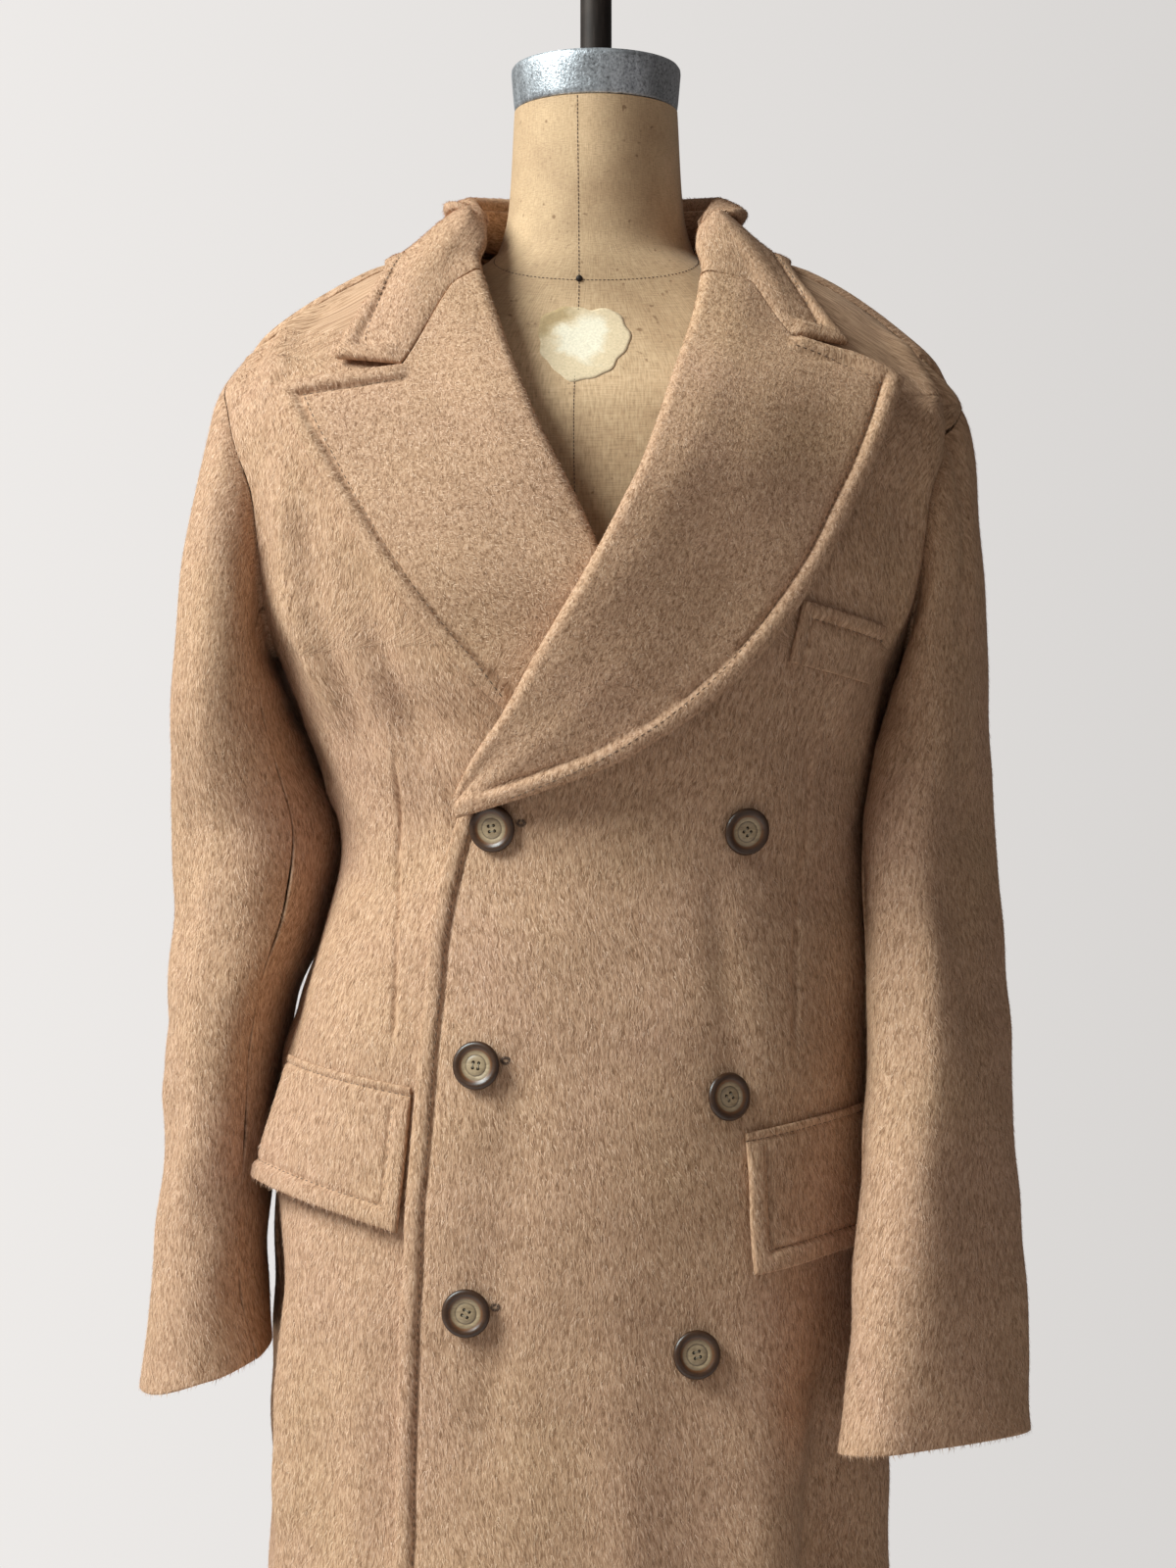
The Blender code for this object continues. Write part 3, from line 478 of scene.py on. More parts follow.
# Distances from an edge at which a shell has lines of points.
SEAM_STEPS = (0, 0.35, 0.9, 1.6, 3.0, 6.0)
EDGE_STEPS = (0, 0.35, 0.9, 1.7, 3.4, 6.0, 8.6, 10.4, 11.5, 12.3, 13.1, 14.2, 16.5, 20.0)
DART_STEPS = (0, 0.9, 2.0, 3.8, 7.0)
FLAP_TOP_STEPS = (0, 0.35, 0.9, 1.7, 3.0, 4.2, 5.0, 5.8, 7.0, 10.0)
EDGE_GROOVE = 12.3
FLAP_GROOVE = 5.0
WELT_GROOVE = 9.0
WELT_STEPS = (0, 0.3, 0.8, 1.5, 3.0, 5.5, 7.4, 8.4, 9.0, 9.6, 10.6, 13.0)
COARSE = 3
BARE_EDGE = 0.8
BRUSHED_STREAKS = (1050.0, 215.0)
FELTED_STREAKS = (820.0, 460.0)
BARE_TROUGH = -0.5

# Buttons on the over front.
BUTTONS = [(-53, 1085), (89, 1083), (-62, 948), (78, 930), (-68, 808), (60, 784)]
BUTTON_LIFT = 3.2
BUTTON_R = 14.0
BUTTON_STEPS = 48
BUTTON_PLATE_R = 5.4
BUTTON_HOLE_R = 1.0
BUTTON_HOLE_STEPS = 10
BUTTON_HOLE_AT = 2.3
BUTTON_HOLE_FLOOR = 0.7
BUTTON_PROFILE = [
    (5.4, 3.0), (5.8, 2.72), (6.3, 2.66), (6.8, 2.95), (8.4, 2.95), (9.2, 3.2), (10.1, 3.9), (11.0, 4.3),
    (12.0, 4.4), (13.0, 4.05), (13.7, 3.3), (14.0, 2.5), (13.8, 1.6), (13.0, 0.6), (11.6, 0.05), (5.4, 0.0),
]
BUTTON_SHARP = 50.0
BUTTON_TURNS = (9.0, 37.0)
THREAD_Z = 2.9
THREAD_SIZE = (BUTTON_HOLE_AT * 1.7, 0.75, 0.7)
# Sewn eyelets beside the buttons; a stitch has a length, a pitch and a width in metres.
EYE_GAP = 1.5
EYE_UP = 3.0
EYE_HALF = (2.2, 1.7)
EYE_LIFT = 0.3
EYE_STITCH = (0.0022, 0.0007, 0.0006)

# Dress form and stand.
FORM_RINGS = Table(
    ("z", "half_width", "front", "back", "power"),
    [
        (822, 150, 112, 112, 2.1),
        (830, 160, 122, 120, 2.1),
        (945, 160, 120, 116, 2.1),
        (1010, 148, 108, 102, 2.1),
        (1075, 134, 100, 90, 2.1),
        (1135, 142, 108, 92, 2.1),
        (1190, 158, 120, 98, 2.1),
        (1240, 172, 122, 102, 2.15),
        (1300, 186, 114, 102, 2.2),
        (1340, 190, 100, 96, 2.2),
        (1358, 184, 88, 90, 2.2),
        (1376, 170, 74, 82, 2.1),
        (1392, 148, 64, 76, 2.1),
        (1412, 112, 58, 70, 2.1),
        (1428, 80, 56, 66, 2.1),
        (1440, 62, 54, 60, 2.0),
        (1470, 54.5, 53, 54, 2.0),
        (1529.6, 51, 51, 51, 2.0),
    ],
)
FORM_STEPS = 120
FORM_ROW = 6.0
FRONT_SEAM = Table(("z", "x"), [(830, -10), (1240, -12), (1325, -13.5), (1415, -10.5), (1529, -11.5)])
NECK_SEAM_Z = (1441.0, 1415.0)
FORM_STITCH = (0.0021, 0.0025, 0.0006)
PATCH_CENTRE = (-8.0, 1377.0)
PATCH_HALF = (27.5, 24.5)
PATCH_UNDER = -0.4
PATCH_OVER = 0.45
PATCH_RINGS = 14
PATCH_STEPS = 72
PAPER_RAGGED = 0.016
PAPER_KEPT = (0.011, 0.018)
PAPER_GLUE = (0.019, 0.030)
PAPER_WHITE = (0.84, 0.72, 0.55)
PAPER_CREAM = (0.74, 0.56, 0.36)
GLUE_TAN = (0.46, 0.31, 0.155)
PIN_AT = (-10.3, 1416.0)
PIN_PROFILE = [(0, 1.5), (0.8, 1.45), (1.5, 1.1), (2.0, 0.4), (2.1, -0.3), (0, -0.3)]
LATHE_STEPS = 96
LATHE_SHARP = 35.0
CAP_PROFILE = [
    (0, 1556), (12, 1556.2), (38, 1557.4), (43, 1558), (48.5, 1558), (51.6, 1557.2), (52.8, 1555.4),
    (53, 1553), (52.3, 1545), (51.4, 1535), (51.0, 1532), (50.4, 1530.6), (49.5, 1530), (0, 1530),
]
TOP_POLE_R = 9.8
TOP_POLE_Z = (1556.8, 1640.0)
STAND_POLE_R = 16.0
STAND_POLE_Z = (62.3, 821.6)
BASE_PROFILE = [
    (0, 62), (22, 62), (24.5, 61.2), (26, 58.6), (26.6, 52), (27.6, 44), (30.5, 39), (36, 35.2), (48, 32),
    (70, 29.4), (110, 26.8), (150, 24.2), (185, 21), (205, 17.8), (214, 14.4), (219, 10.4), (219.8, 7),
    (218.4, 3.2), (214, 0), (0, 0),
]

# Stage.
AIM = (0.0, 0.0, 1.15)
KEY_AT = (-2.55, -1.15, 3.3)
KEY_SIZE = 2.0
KEY_COLOUR = (0.85, 0.98, 1.0)
FILL_AT = (1.9, -2.2, 1.5)
FILL_SIZE = 1.8
FILL_COLOUR = (0.93, 0.96, 1.0)
FLOOR_SHADES = [(0.2, (0.74, 0.69, 0.67)), (0.8, (0.80, 0.75, 0.73))]


# Small helpers on numbers and arrays.
def step(value, start, end):
    """Smooth step from 0 at start to 1 at end."""
    f = np.clip((value - start) / (end - start), 0.0, 1.0)
    return f * f * (3 - 2 * f)


def mix(a, b, f):
    return a + (b - a) * f


def bump(distance, width):
    return np.exp(-((distance / width) ** 2))


def unit(vectors):
    return vectors / np.maximum(np.linalg.norm(vectors, axis=-1, keepdims=True), 1e-9)


def along(outline, f):
    """Points at shares of the length of an outline."""
    outline = np.array(outline, float)
    ends = np.concatenate(([0], np.cumsum(np.linalg.norm(np.diff(outline, axis=0), axis=1))))
    place = np.asarray(f) * ends[-1]
    return np.stack([np.interp(place, ends, outline[:, k]) for k in range(outline.shape[1])], axis=-1)


def rounded(outline, f):
    """Points of an outline with its corners eased, except at its two ends."""
    ease = CORNER_EASE * np.minimum(1.0, np.minimum(4 * f, 4 * (1 - f)))
    return (along(outline, f - ease) + along(outline, f) * 2 + along(outline, f + ease)) / 4


def spread(length, first, last, pitch):
    """Shares of a length: set distances near both ends and an even pitch between them."""
    middle = length - first[-1] - last[-1]
    count = max(1, round(middle / pitch))
    even = [first[-1] + middle * k / count for k in range(1, count)]
    places = [*first, *even, *[length - d for d in reversed(last)]]
    return np.array(places) / length


def even_out(shares):
    """Shares with a line added in the widest gaps until they suit the coarse inner side."""
    shares = list(shares)
    while (len(shares) - 1) % COARSE:
        gaps = np.diff(shares)
        k = int(np.argmax(gaps))
        shares.insert(k + 1, (shares[k] + shares[k + 1]) / 2)
    return np.array(shares)


def line_bump(across, up, start, end, width):
    """Height of a soft line between two places of a plane, fading at its ends."""
    way = np.array(end, float) - np.array(start, float)
    length = np.linalg.norm(way)
    way /= length
    run = ((across - start[0]) * way[0] + (up - start[1]) * way[1]) / length
    off = (across - start[0]) * -way[1] + (up - start[1]) * way[0]
    wander = 1 + LINE_WANDER * np.sin(run * LINE_WAVES + start[0])
    return bump(off, width * wander) * step(run, *LINE_FADE_IN) * (1 - step(run, *LINE_FADE_OUT))


def add_creases(total, creases, turn, place, scale):
    """Heights with soft creases added; turns are taken as lengths by a scale."""
    for start_turn, start, end_turn, end, width, depth in creases:
        ends = ((start_turn * scale, start), (end_turn * scale, end))
        total = total + depth * line_bump(turn * scale, place, *ends, width)
    return total


def add_swells(total, turn, place, size):
    """Heights with the small swells added."""
    for by_turn, by_place, phase, height in SWELLS:
        total = total + height * size * np.sin(by_turn * turn + by_place * place + phase)
    return total


# The coat surface.
def fold_height(angle, z):
    """Sum of the long folds, the soft creases and the swells."""
    total = np.zeros(np.broadcast(angle, z).shape)
    for middle, drift, half_width, depth, start_z, full_z, end_z in FOLDS:
        centre = middle + drift * step(z, start_z, HEM_Z)
        away = (angle - centre + 180) % 360 - 180
        fade = step(z, start_z, full_z)
        if end_z:
            fade = fade * step(z, end_z, end_z + FOLD_END_SPAN)
        total = total + depth * fade * bump(away, half_width)
    turn = (np.asarray(angle) + 180) % 360 - 180
    total = add_creases(total, CREASES, turn, z, MM_PER_DEGREE)
    return add_swells(total, turn, z, 1 - step(z, *SWELL_CALM_Z))


def oval_point(rings, turn, z):
    """Points of a table of oval rings at turns from the right side round the front."""
    c = np.cos(turn)
    s = np.sin(turn)
    power = 2 / rings.at(z, "power")
    depth = np.where(s > 0, rings.at(z, "front"), rings.at(z, "back"))
    x = rings.at(z, "half_width") * np.copysign(np.abs(c) ** power, c)
    y = -depth * np.copysign(np.abs(s) ** power, s)
    return np.stack(np.broadcast_arrays(x, y, z), axis=-1)


def oval_turn(rings, x, z):
    """Turn of the front point of a ring at a distance from its middle."""
    reach = np.clip(x / rings.at(z, "half_width"), -1, 1)
    return np.arccos(np.copysign(np.abs(reach) ** (rings.at(z, "power") / 2), reach))


def ring_point(angle, z):
    """Points of the coat surface without its folds."""
    points = oval_point(COAT_RINGS, np.radians(angle), z)
    points[..., 0] += COAT_RINGS.at(z, "shift")
    return points


def ring_normal(angle, z):
    """Outward normals of the coat surface without its folds."""
    across = ring_point(angle + ANGLE_STEP, z) - ring_point(angle - ANGLE_STEP, z)
    up = ring_point(angle, z + HEIGHT_STEP) - ring_point(angle, z - HEIGHT_STEP)
    return unit(np.cross(up, across))


def on_coat(angle, z, lift=0.0):
    """Points at a lift from the coat surface, folds included."""
    height = np.asarray(lift + fold_height(angle, z))
    return ring_point(angle, z) + ring_normal(angle, z) * height[..., None]


def front_angle(x, z):
    """Angle of the front point of a ring with this x."""
    return np.degrees(oval_turn(COAT_RINGS, x - COAT_RINGS.at(z, "shift"), z))


def side_angle(y, z):
    """Angle away from the side line at which a ring reaches a depth y."""
    depth = np.where(y < 0, COAT_RINGS.at(z, "front"), COAT_RINGS.at(z, "back"))
    s = np.minimum(1.0, (np.abs(y) / depth) ** (COAT_RINGS.at(z, "power") / 2))
    return np.copysign(np.degrees(np.arcsin(s)), -y)


def armhole(side):
    """Centre height and half height of an armhole."""
    top = SHOULDER_Z[side]
    return (top + ARMPIT_Z) / 2, (top - ARMPIT_Z) / 2


def side_line(z, side, front):
    """Angle where a panel ends at the side: side seam, armhole edge or shoulder seam."""
    centre, half = armhole(side)
    reach = ARMHOLE_FRONT if front else ARMHOLE_BACK
    hole = reach * np.sqrt(np.maximum(0.0, 1 - ((z - centre) / half) ** 2)) + SEAM_GAP / 2
    forward = SHOULDER_FORWARD * step(z, SHOULDER_Z[side], SHOULDER_Z[side] + SHOULDER_RAMP)
    forward = forward * (1 - step(z, *SHOULDER_FADE_Z))
    return mirrored(side, side_angle((-hole if front else hole) - forward, z))


def over_lift(x, z):
    """Lift of the over front above the coat surface."""
    flat = OVER_LIFT * (1 - step(x, OVER_LIFT_FULL_X, OVER_LIFT_END_X)) * (1 - step(z, *OVER_LIFT_FADE_Z))
    away = x - OVER_EDGE.at(z, "x")
    roll = ROLL_LIFT * step(z, *ROLL_LIFT_Z) * (1 - step(z, *ROLL_LIFT_FADE_Z))
    return flat + roll * (1 - step(away, 0, ROLL_LIFT_REACH))


def on_over(x, z, lift=0.0):
    """Points on the over front, given as seen from the front."""
    return on_coat(front_angle(x, z), z, over_lift(x, z) + lift)


def on_under(x, z, lift=0.0):
    """Points on the under front, given as seen from the front."""
    return on_coat(front_angle(x, z), z, lift)


# Meshes and objects.
def to_row(points):
    """Coat points in millimetres as points of the row frame in metres."""
    return np.asarray(points, float) * MM + np.array((COAT_X * MM, 0, 0))


def add_piece(name, mesh, finishes):
    """Object of a mesh, at the origin, with its materials."""
    for finish in finishes:
        mesh.materials.append(finish)
    piece = bpy.data.objects.new(name, mesh)
    bpy.context.scene.collection.objects.link(piece)
    return piece


def mesh_of(name, points, faces, uv=None):
    """Smooth mesh of points in metres, with a UV map that follows the points."""
    mesh = bpy.data.meshes.new(name)
    mesh.from_pydata([tuple(p) for p in points], [], faces)
    if uv is not None:
        corners = np.empty(len(mesh.loops), int)
        mesh.loops.foreach_get("vertex_index", corners)
        layer = mesh.uv_layers.new(name=UV_NAME)
        layer.data.foreach_set("uv", np.asarray(uv, float)[corners].ravel())
    mesh.shade_smooth()
    return mesh


def mesh_of_shape(name, shape, sharp, place=None):
    """Smooth mesh of a shape drawn in millimetres, with sharp edges past an angle, at its place."""
    bmesh.ops.scale(shape, vec=(MM, MM, MM), verts=shape.verts)
    if place is not None:
        bmesh.ops.transform(shape, matrix=place, verts=shape.verts)
    mesh = bpy.data.meshes.new(name)
    shape.to_mesh(mesh)
    shape.free()
    mesh.shade_smooth()
    mesh.set_sharp_from_angle(angle=math.radians(sharp))
    return mesh


class Sheet:
    """Grid of a cloth piece: its middle points, normals and distances from its four edges."""

    def __init__(self, middle, outward):
        self.middle = middle
        across = np.gradient(middle, axis=1)
        up = np.gradient(middle, axis=0)
        normals = unit(np.cross(across, up))
        self.turned = np.sum(normals * outward) < 0
        self.normals = -normals if self.turned else normals
        run = np.linalg.norm(np.diff(middle, axis=1), axis=-1)
        rise = np.linalg.norm(np.diff(middle, axis=0), axis=-1)
        self.first = np.concatenate((np.zeros((len(middle), 1)), np.cumsum(run, axis=1)), axis=1)
        self.low = np.concatenate((np.zeros((1, middle.shape[1])), np.cumsum(rise, axis=0)), axis=0)
        self.last = self.first[:, -1:] - self.first
        self.top = self.low[-1:] - self.low
        self.outer = None

    def shell(self, name, half, relief=0.0, shown=True, soft=None):
        """Closed shell with rounded edges; its hidden side has fewer points, its troughs no nap."""
        edges = {"first": self.first, "last": self.last, "low": self.low, "top": self.top}
        edge = np.minimum.reduce(list(edges.values()))
        near = [distance / (soft or {}).get(which, half) for which, distance in edges.items()]
        near = np.clip(np.minimum.reduce(near), 0, 1)
        rise = np.sqrt(np.maximum(0.0, 1 - (1 - near) ** 2))
        self.outer = self.middle + self.normals * ((half + relief) * rise)[..., None]
        inner = self.middle - self.normals * (half * rise)[..., None]
        rows, columns = edge.shape
        index = np.arange(rows * columns).reshape(rows, columns)
        rows_kept = np.arange(0, rows, COARSE)
        columns_kept = np.arange(0, columns, COARSE)
        inner_index = index.copy()
        kept = np.ix_(rows_kept[1:-1], columns_kept[1:-1])
        count = (len(rows_kept) - 2, len(columns_kept) - 2)
        inner_index[kept] = rows * columns + np.arange(count[0] * count[1]).reshape(count)
        points = np.concatenate((self.outer.reshape(-1, 3), inner[kept].reshape(-1, 3)))
        uv = np.stack((self.first, self.low), axis=-1) * MM
        uv = np.concatenate((uv.reshape(-1, 2), uv[kept].reshape(-1, 2)))
        corners = (index[:-1, :-1], index[:-1, 1:], index[1:, 1:], index[1:, :-1])
        quads = np.stack(corners, axis=-1).reshape(-1, 4)
        faces = [tuple(q) for q in (quads[:, ::-1] if self.turned else quads).tolist()]
        back = inner_faces(inner_index, rows_kept, columns_kept)
        faces += back if self.turned else [f[::-1] for f in back]
        mesh = mesh_of(name, to_row(points), faces, uv)
        napped = np.zeros(len(faces), bool)
        hairy = (edge >= BARE_EDGE) & (relief >= BARE_TROUGH) & shown
        napped[:len(quads)] = hairy[:-1, :-1].ravel()
        mesh.attributes.new("napped", "BOOLEAN", "FACE").data.foreach_set("value", napped)
        return mesh

    def row_path(self, i, start=0, stop=None):
        return to_row(self.outer[i, start:stop]), self.normals[i, start:stop]

    def column_path(self, j, start=0, stop=None):
        return to_row(self.outer[start:stop, j]), self.normals[start:stop, j]


def inner_faces(index, rows, columns):
    """Faces of a shell's coarse side; along the edges they take in every edge point."""
    last_row = rows[-1]
    last_column = columns[-1]
    faces = []
    for i0, i1 in zip(rows, rows[1:]):
        for j0, j1 in zip(columns, columns[1:]):
            low = range(j0, j1) if i0 == 0 else (j0,)
            right = range(i0, i1) if j1 == last_column else (i0,)
            top = range(j1, j0, -1) if i1 == last_row else (j1,)
            left = range(i1, i0, -1) if j0 == 0 else (i1,)
            loop = [index[i0, j] for j in low] + [index[i, j1] for i in right]
            loop += [index[i1, j] for j in top] + [index[i, j0] for i in left]
            faces.append(tuple(int(k) for k in loop))
    return faces


def nearest(distances, value):
    """Index of the line nearest a distance."""
    return int(np.argmin(np.abs(distances - value)))


def groove(distance, place, depth=1.7, width=1.5):
    """Trough of a row of sewing at a distance from an edge."""
    return -depth * bump(distance - place, width)


def swelled_edge(distance, puff, place=EDGE_GROOVE):
    """Relief of a sewn edge: a full rounded band, then the trough of its sewing."""
    across = np.clip((distance - place / 2) / (place / 2), -1, 1)
    return puff * np.sqrt(1 - across ** 2) + groove(distance, place)


def inside(outline, x, z):
    """True where front-view places lie within an outline."""
    result = np.zeros(np.shape(x), bool)
    for (ax, az), (bx, bz) in zip(outline, [*outline[1:], outline[0]]):
        if az == bz:
            continue
        crosses = (az > z) != (bz > z)
        result ^= crosses & (x < (bx - ax) * (z - az) / (bz - az) + ax)
    return result


# Node trees.
def add_node(tree, kind, inputs=None, **settings):
    """Node with its settings and its inputs, each a value or another node's socket."""
    made = tree.nodes.new(kind)
    for name, value in settings.items():
        setattr(made, name, value)
    fill_inputs(tree, made, inputs or {})
    return made


def fill_inputs(tree, made, inputs):
    for name, value in inputs.items():
        socket = made.inputs[name]
        if isinstance(value, bpy.types.NodeSocket):
            tree.links.new(value, socket)
        else:
            socket.default_value = value


def maths(tree, operation, a, b=0.0):
    return add_node(tree, "ShaderNodeMath", {0: a, 1: b}, operation=operation).outputs[0]


def vector_maths(tree, operation, a, b):
    second = "Scale" if operation == "SCALE" else 1
    return add_node(tree, "ShaderNodeVectorMath", {0: a, second: b}, operation=operation).outputs[0]


def combined(tree, x=0.0, y=0.0, z=0.0):
    return add_node(tree, "ShaderNodeCombineXYZ", {"X": x, "Y": y, "Z": z}).outputs[0]


def weighted(tree, a, b, share):
    """Sum of two values, the first with a share of the whole."""
    return maths(tree, "ADD", maths(tree, "MULTIPLY", a, share), maths(tree, "MULTIPLY", b, 1 - share))


def swing(tree, value, size):
    """A value from 0 to 1 as a swing about zero."""
    return maths(tree, "MULTIPLY", maths(tree, "SUBTRACT", value, 0.5), size)


def length_of(tree, a, b):
    squares = maths(tree, "ADD", maths(tree, "MULTIPLY", a, a), maths(tree, "MULTIPLY", b, b))
    return maths(tree, "SQRT", squares)


def ramp_share(tree, value, span):
    """Share of the way over a span of values, from 0 to 1."""
    made = add_node(tree, "ShaderNodeMapRange", {"Value": value, "From Min": span[0], "From Max": span[1]})
    return made.outputs["Result"]


def colour_ramp(tree, value, stops):
    """Colours along a value, from stops of place and colour."""
    made = add_node(tree, "ShaderNodeValToRGB", {"Fac": value})
    elements = made.color_ramp.elements
    while len(elements) < len(stops):
        elements.new(0.5)
    for element, (place, colour) in zip(elements, stops):
        element.position = place
        element.color = (*colour, 1)
    return made.outputs["Color"]


def mix_colours(tree, factor, a, b, blend="MIX"):
    """Mixed colour of two sockets or colours."""
    a, b = [value if isinstance(value, bpy.types.NodeSocket) else (*value, 1) for value in (a, b)]
    made = add_node(tree, "ShaderNodeMix", data_type="RGBA", blend_type=blend)
    fill_inputs(tree, made, {0: factor, 6: a, 7: b})
    return made.outputs[2]


def new_group(name, kind, inputs, outputs):
    """Node group with named sockets; returns it with its input and output nodes."""
    tree = bpy.data.node_groups.new(name, kind)
    for label, socket, value in inputs:
        made = tree.interface.new_socket(label, in_out="INPUT", socket_type=socket)
        if value is not None:
            made.default_value = value
    for label, socket in outputs:
        tree.interface.new_socket(label, in_out="OUTPUT", socket_type=socket)
    return tree, tree.nodes.new("NodeGroupInput").outputs, tree.nodes.new("NodeGroupOutput")


def noise(tree, vector, scale, detail=2.0, roughness=0.5, distortion=0.0):
    inputs = {"Vector": vector, "Scale": scale, "Detail": detail, "Roughness": roughness}
    return add_node(tree, "ShaderNodeTexNoise", {**inputs, "Distortion": distortion}).outputs["Fac"]


def stretched(tree, vector, scale):
    return add_node(tree, "ShaderNodeMapping", {"Vector": vector, "Scale": scale}).outputs["Vector"]


def streak_group():
    """Streaks of a brushed nap: tone along a piece's own lie."""
    if "Brushed streaks" in bpy.data.node_groups:
        return bpy.data.node_groups["Brushed streaks"]
    sockets = [
        ("Vector", "NodeSocketVector", None),
        ("Across", "NodeSocketFloat", 480.0),
        ("Along", "NodeSocketFloat", 105.0),
    ]
    results = [("Tone", "NodeSocketFloat")]
    tree, given, out = new_group("Brushed streaks", "ShaderNodeTree", sockets, results)
    sway = add_node(tree, "ShaderNodeTexNoise", {"Vector": given["Vector"], "Scale": 26.0, "Detail": 2.0})
    push = vector_maths(tree, "SUBTRACT", sway.outputs["Color"], (0.5, 0.5, 0.5))
    bent = vector_maths(tree, "ADD", given["Vector"], vector_maths(tree, "SCALE", push, 0.012))
    fine = vector_maths(tree, "MULTIPLY", bent, combined(tree, given["Across"], given["Along"], 1.0))
    fibres = noise(tree, fine, 1.0, 3.0, 0.6)
    clumps = noise(tree, vector_maths(tree, "SCALE", fine, 0.42), 1.0, 2.0, 0.5)
    tree.links.new(weighted(tree, fibres, clumps, 0.6), out.inputs["Tone"])
    return tree


def mottle_group():
    """Slow patches of wear and handling over a surface, from 0 to 1."""
    if "Handled patches" in bpy.data.node_groups:
        return bpy.data.node_groups["Handled patches"]
    sockets = [
        ("Vector", "NodeSocketVector", None),
        ("Scale", "NodeSocketFloat", 8.0),
        ("Contrast", "NodeSocketFloat", 2.0),
    ]
    results = [("Patches", "NodeSocketFloat")]
    tree, given, out = new_group("Handled patches", "ShaderNodeTree", sockets, results)
    broad = noise(tree, given["Vector"], given["Scale"], 4.0, 0.55, 0.4)
    centred = swing(tree, broad, given["Contrast"])
    made = add_node(tree, "ShaderNodeMath", {0: centred, 1: 0.5}, operation="ADD", use_clamp=True)
    tree.links.new(made.outputs[0], out.inputs["Patches"])
    return tree


def place_group(tree, group, inputs):
    return add_node(tree, "ShaderNodeGroup", inputs, node_tree=group).outputs


def patches_on(tree, scale, contrast):
    """Handled patches over a piece, by its own places."""
    inputs = {"Vector": object_places(tree), "Scale": scale, "Contrast": contrast}
    return place_group(tree, mottle_group(), inputs)["Patches"]


def new_finish(name, **constants):
    """Material with a Principled shader; returns it with its tree and shader."""
    made = bpy.data.materials.new(name)
    made.use_nodes = True
    shader = made.node_tree.nodes["Principled BSDF"]
    for label, value in constants.items():
        shader.inputs[label.replace("_", " ")].default_value = value
    return made, made.node_tree, shader


def cloth_places(tree):
    return add_node(tree, "ShaderNodeUVMap", uv_map=UV_NAME).outputs["UV"]


def object_places(tree):
    return tree.nodes.new("ShaderNodeTexCoord").outputs["Object"]


def add_bump(tree, shader, height, strength, distance):
    inputs = {"Height": height, "Strength": strength, "Distance": distance}
    tree.links.new(add_node(tree, "ShaderNodeBump", inputs).outputs["Normal"], shader.inputs["Normal"])


def set_rough(tree, shader, value, low, high):
    made = add_node(tree, "ShaderNodeMapRange", {"Value": value, "To Min": low, "To Max": high})
    tree.links.new(made.outputs["Result"], shader.inputs["Roughness"])


def set_colour(tree, shader, colour, tint, share=1.0):
    """Base colour of a finish, multiplied by a tint."""
    tree.links.new(mix_colours(tree, share, colour, tint, "MULTIPLY"), shader.inputs["Base Color"])


def scaled(colour, by):
    return [c * by for c in colour]


def camel_patches(tree):
    """Tint of the camel cloth and its nap, a little warmer here and there."""
    return mix_colours(tree, patches_on(tree, 7.0, 2.2), (1.0, 0.96, 0.9), (1.0, 0.93, 0.97))


# Finishes.
def camel_cloth(felted):
    """Ground of the cloth: fibre tones with painted shade between its fibres, darker where the streak bump is
    low, pale on the clumps of its brushed or felted nap.
    """
    name = "camel_felted" if felted else "camel_brushed"
    if name in bpy.data.materials:
        return bpy.data.materials[name]
    look = bpy.context.scene.overcoat
    finish, tree, shader = new_finish(name, Roughness=0.95, Specular_IOR_Level=0.12, Sheen_Weight=0.12)
    shader.inputs["Sheen Tint"].default_value = (*look.camel_tip, 1)
    across, down = FELTED_STREAKS if felted else BRUSHED_STREAKS
    lie = {"Vector": cloth_places(tree), "Across": across, "Along": down}
    streaks = place_group(tree, streak_group(), lie)
    # The dark stop is painted shade in the gaps between the fibres; the mid and pale stops are fibre tone.
    stops = [(0.38, look.camel_dark), (0.5, look.camel_mid), (0.62, look.camel_pale)]
    set_colour(tree, shader, colour_ramp(tree, streaks["Tone"], stops), camel_patches(tree))
    add_bump(tree, shader, streaks["Tone"], 0.6, 0.0014)
    return finish


def camel_nap():
    """Single fibres of the nap, each a little paler or darker."""
    if "camel_nap" in bpy.data.materials:
        return bpy.data.materials["camel_nap"]
    look = bpy.context.scene.overcoat
    finish, tree, shader = new_finish("camel_nap", Roughness=0.9, Specular_IOR_Level=0.1)
    shaded = tree.nodes.new("ShaderNodeLightPath").outputs["Is Shadow Ray"]
    thin = maths(tree, "SUBTRACT", 1.0, maths(tree, "MULTIPLY", shaded, look.nap_clear))
    tree.links.new(thin, shader.inputs["Alpha"])
    chance = tree.nodes.new("ShaderNodeNewGeometry").outputs["Random Per Island"]
    stops = [(0.0, look.camel_dark), (0.28, look.camel_mid), (0.6, look.camel_pale), (1.0, look.camel_tip)]
    set_colour(tree, shader, colour_ramp(tree, chance, stops), camel_patches(tree))
    return finish


def sewing_thread(name, colour):
    """Twisted thread with painted shade in its turns: darker where its twist bump is low."""
    if name in bpy.data.materials:
        return bpy.data.materials[name]
    finish, tree, shader = new_finish(name, Roughness=0.75, Sheen_Weight=0.2)
    twist = noise(tree, object_places(tree), 900.0, 2.0)
    # Painted shade: the thread is darker where the twist bump is low.
    shades = colour_ramp(tree, twist, [(0.3, scaled(colour, 0.55)), (0.7, colour)])
    tree.links.new(shades, shader.inputs["Base Color"])
    add_bump(tree, shader, twist, 0.4, 0.0002)
    return finish


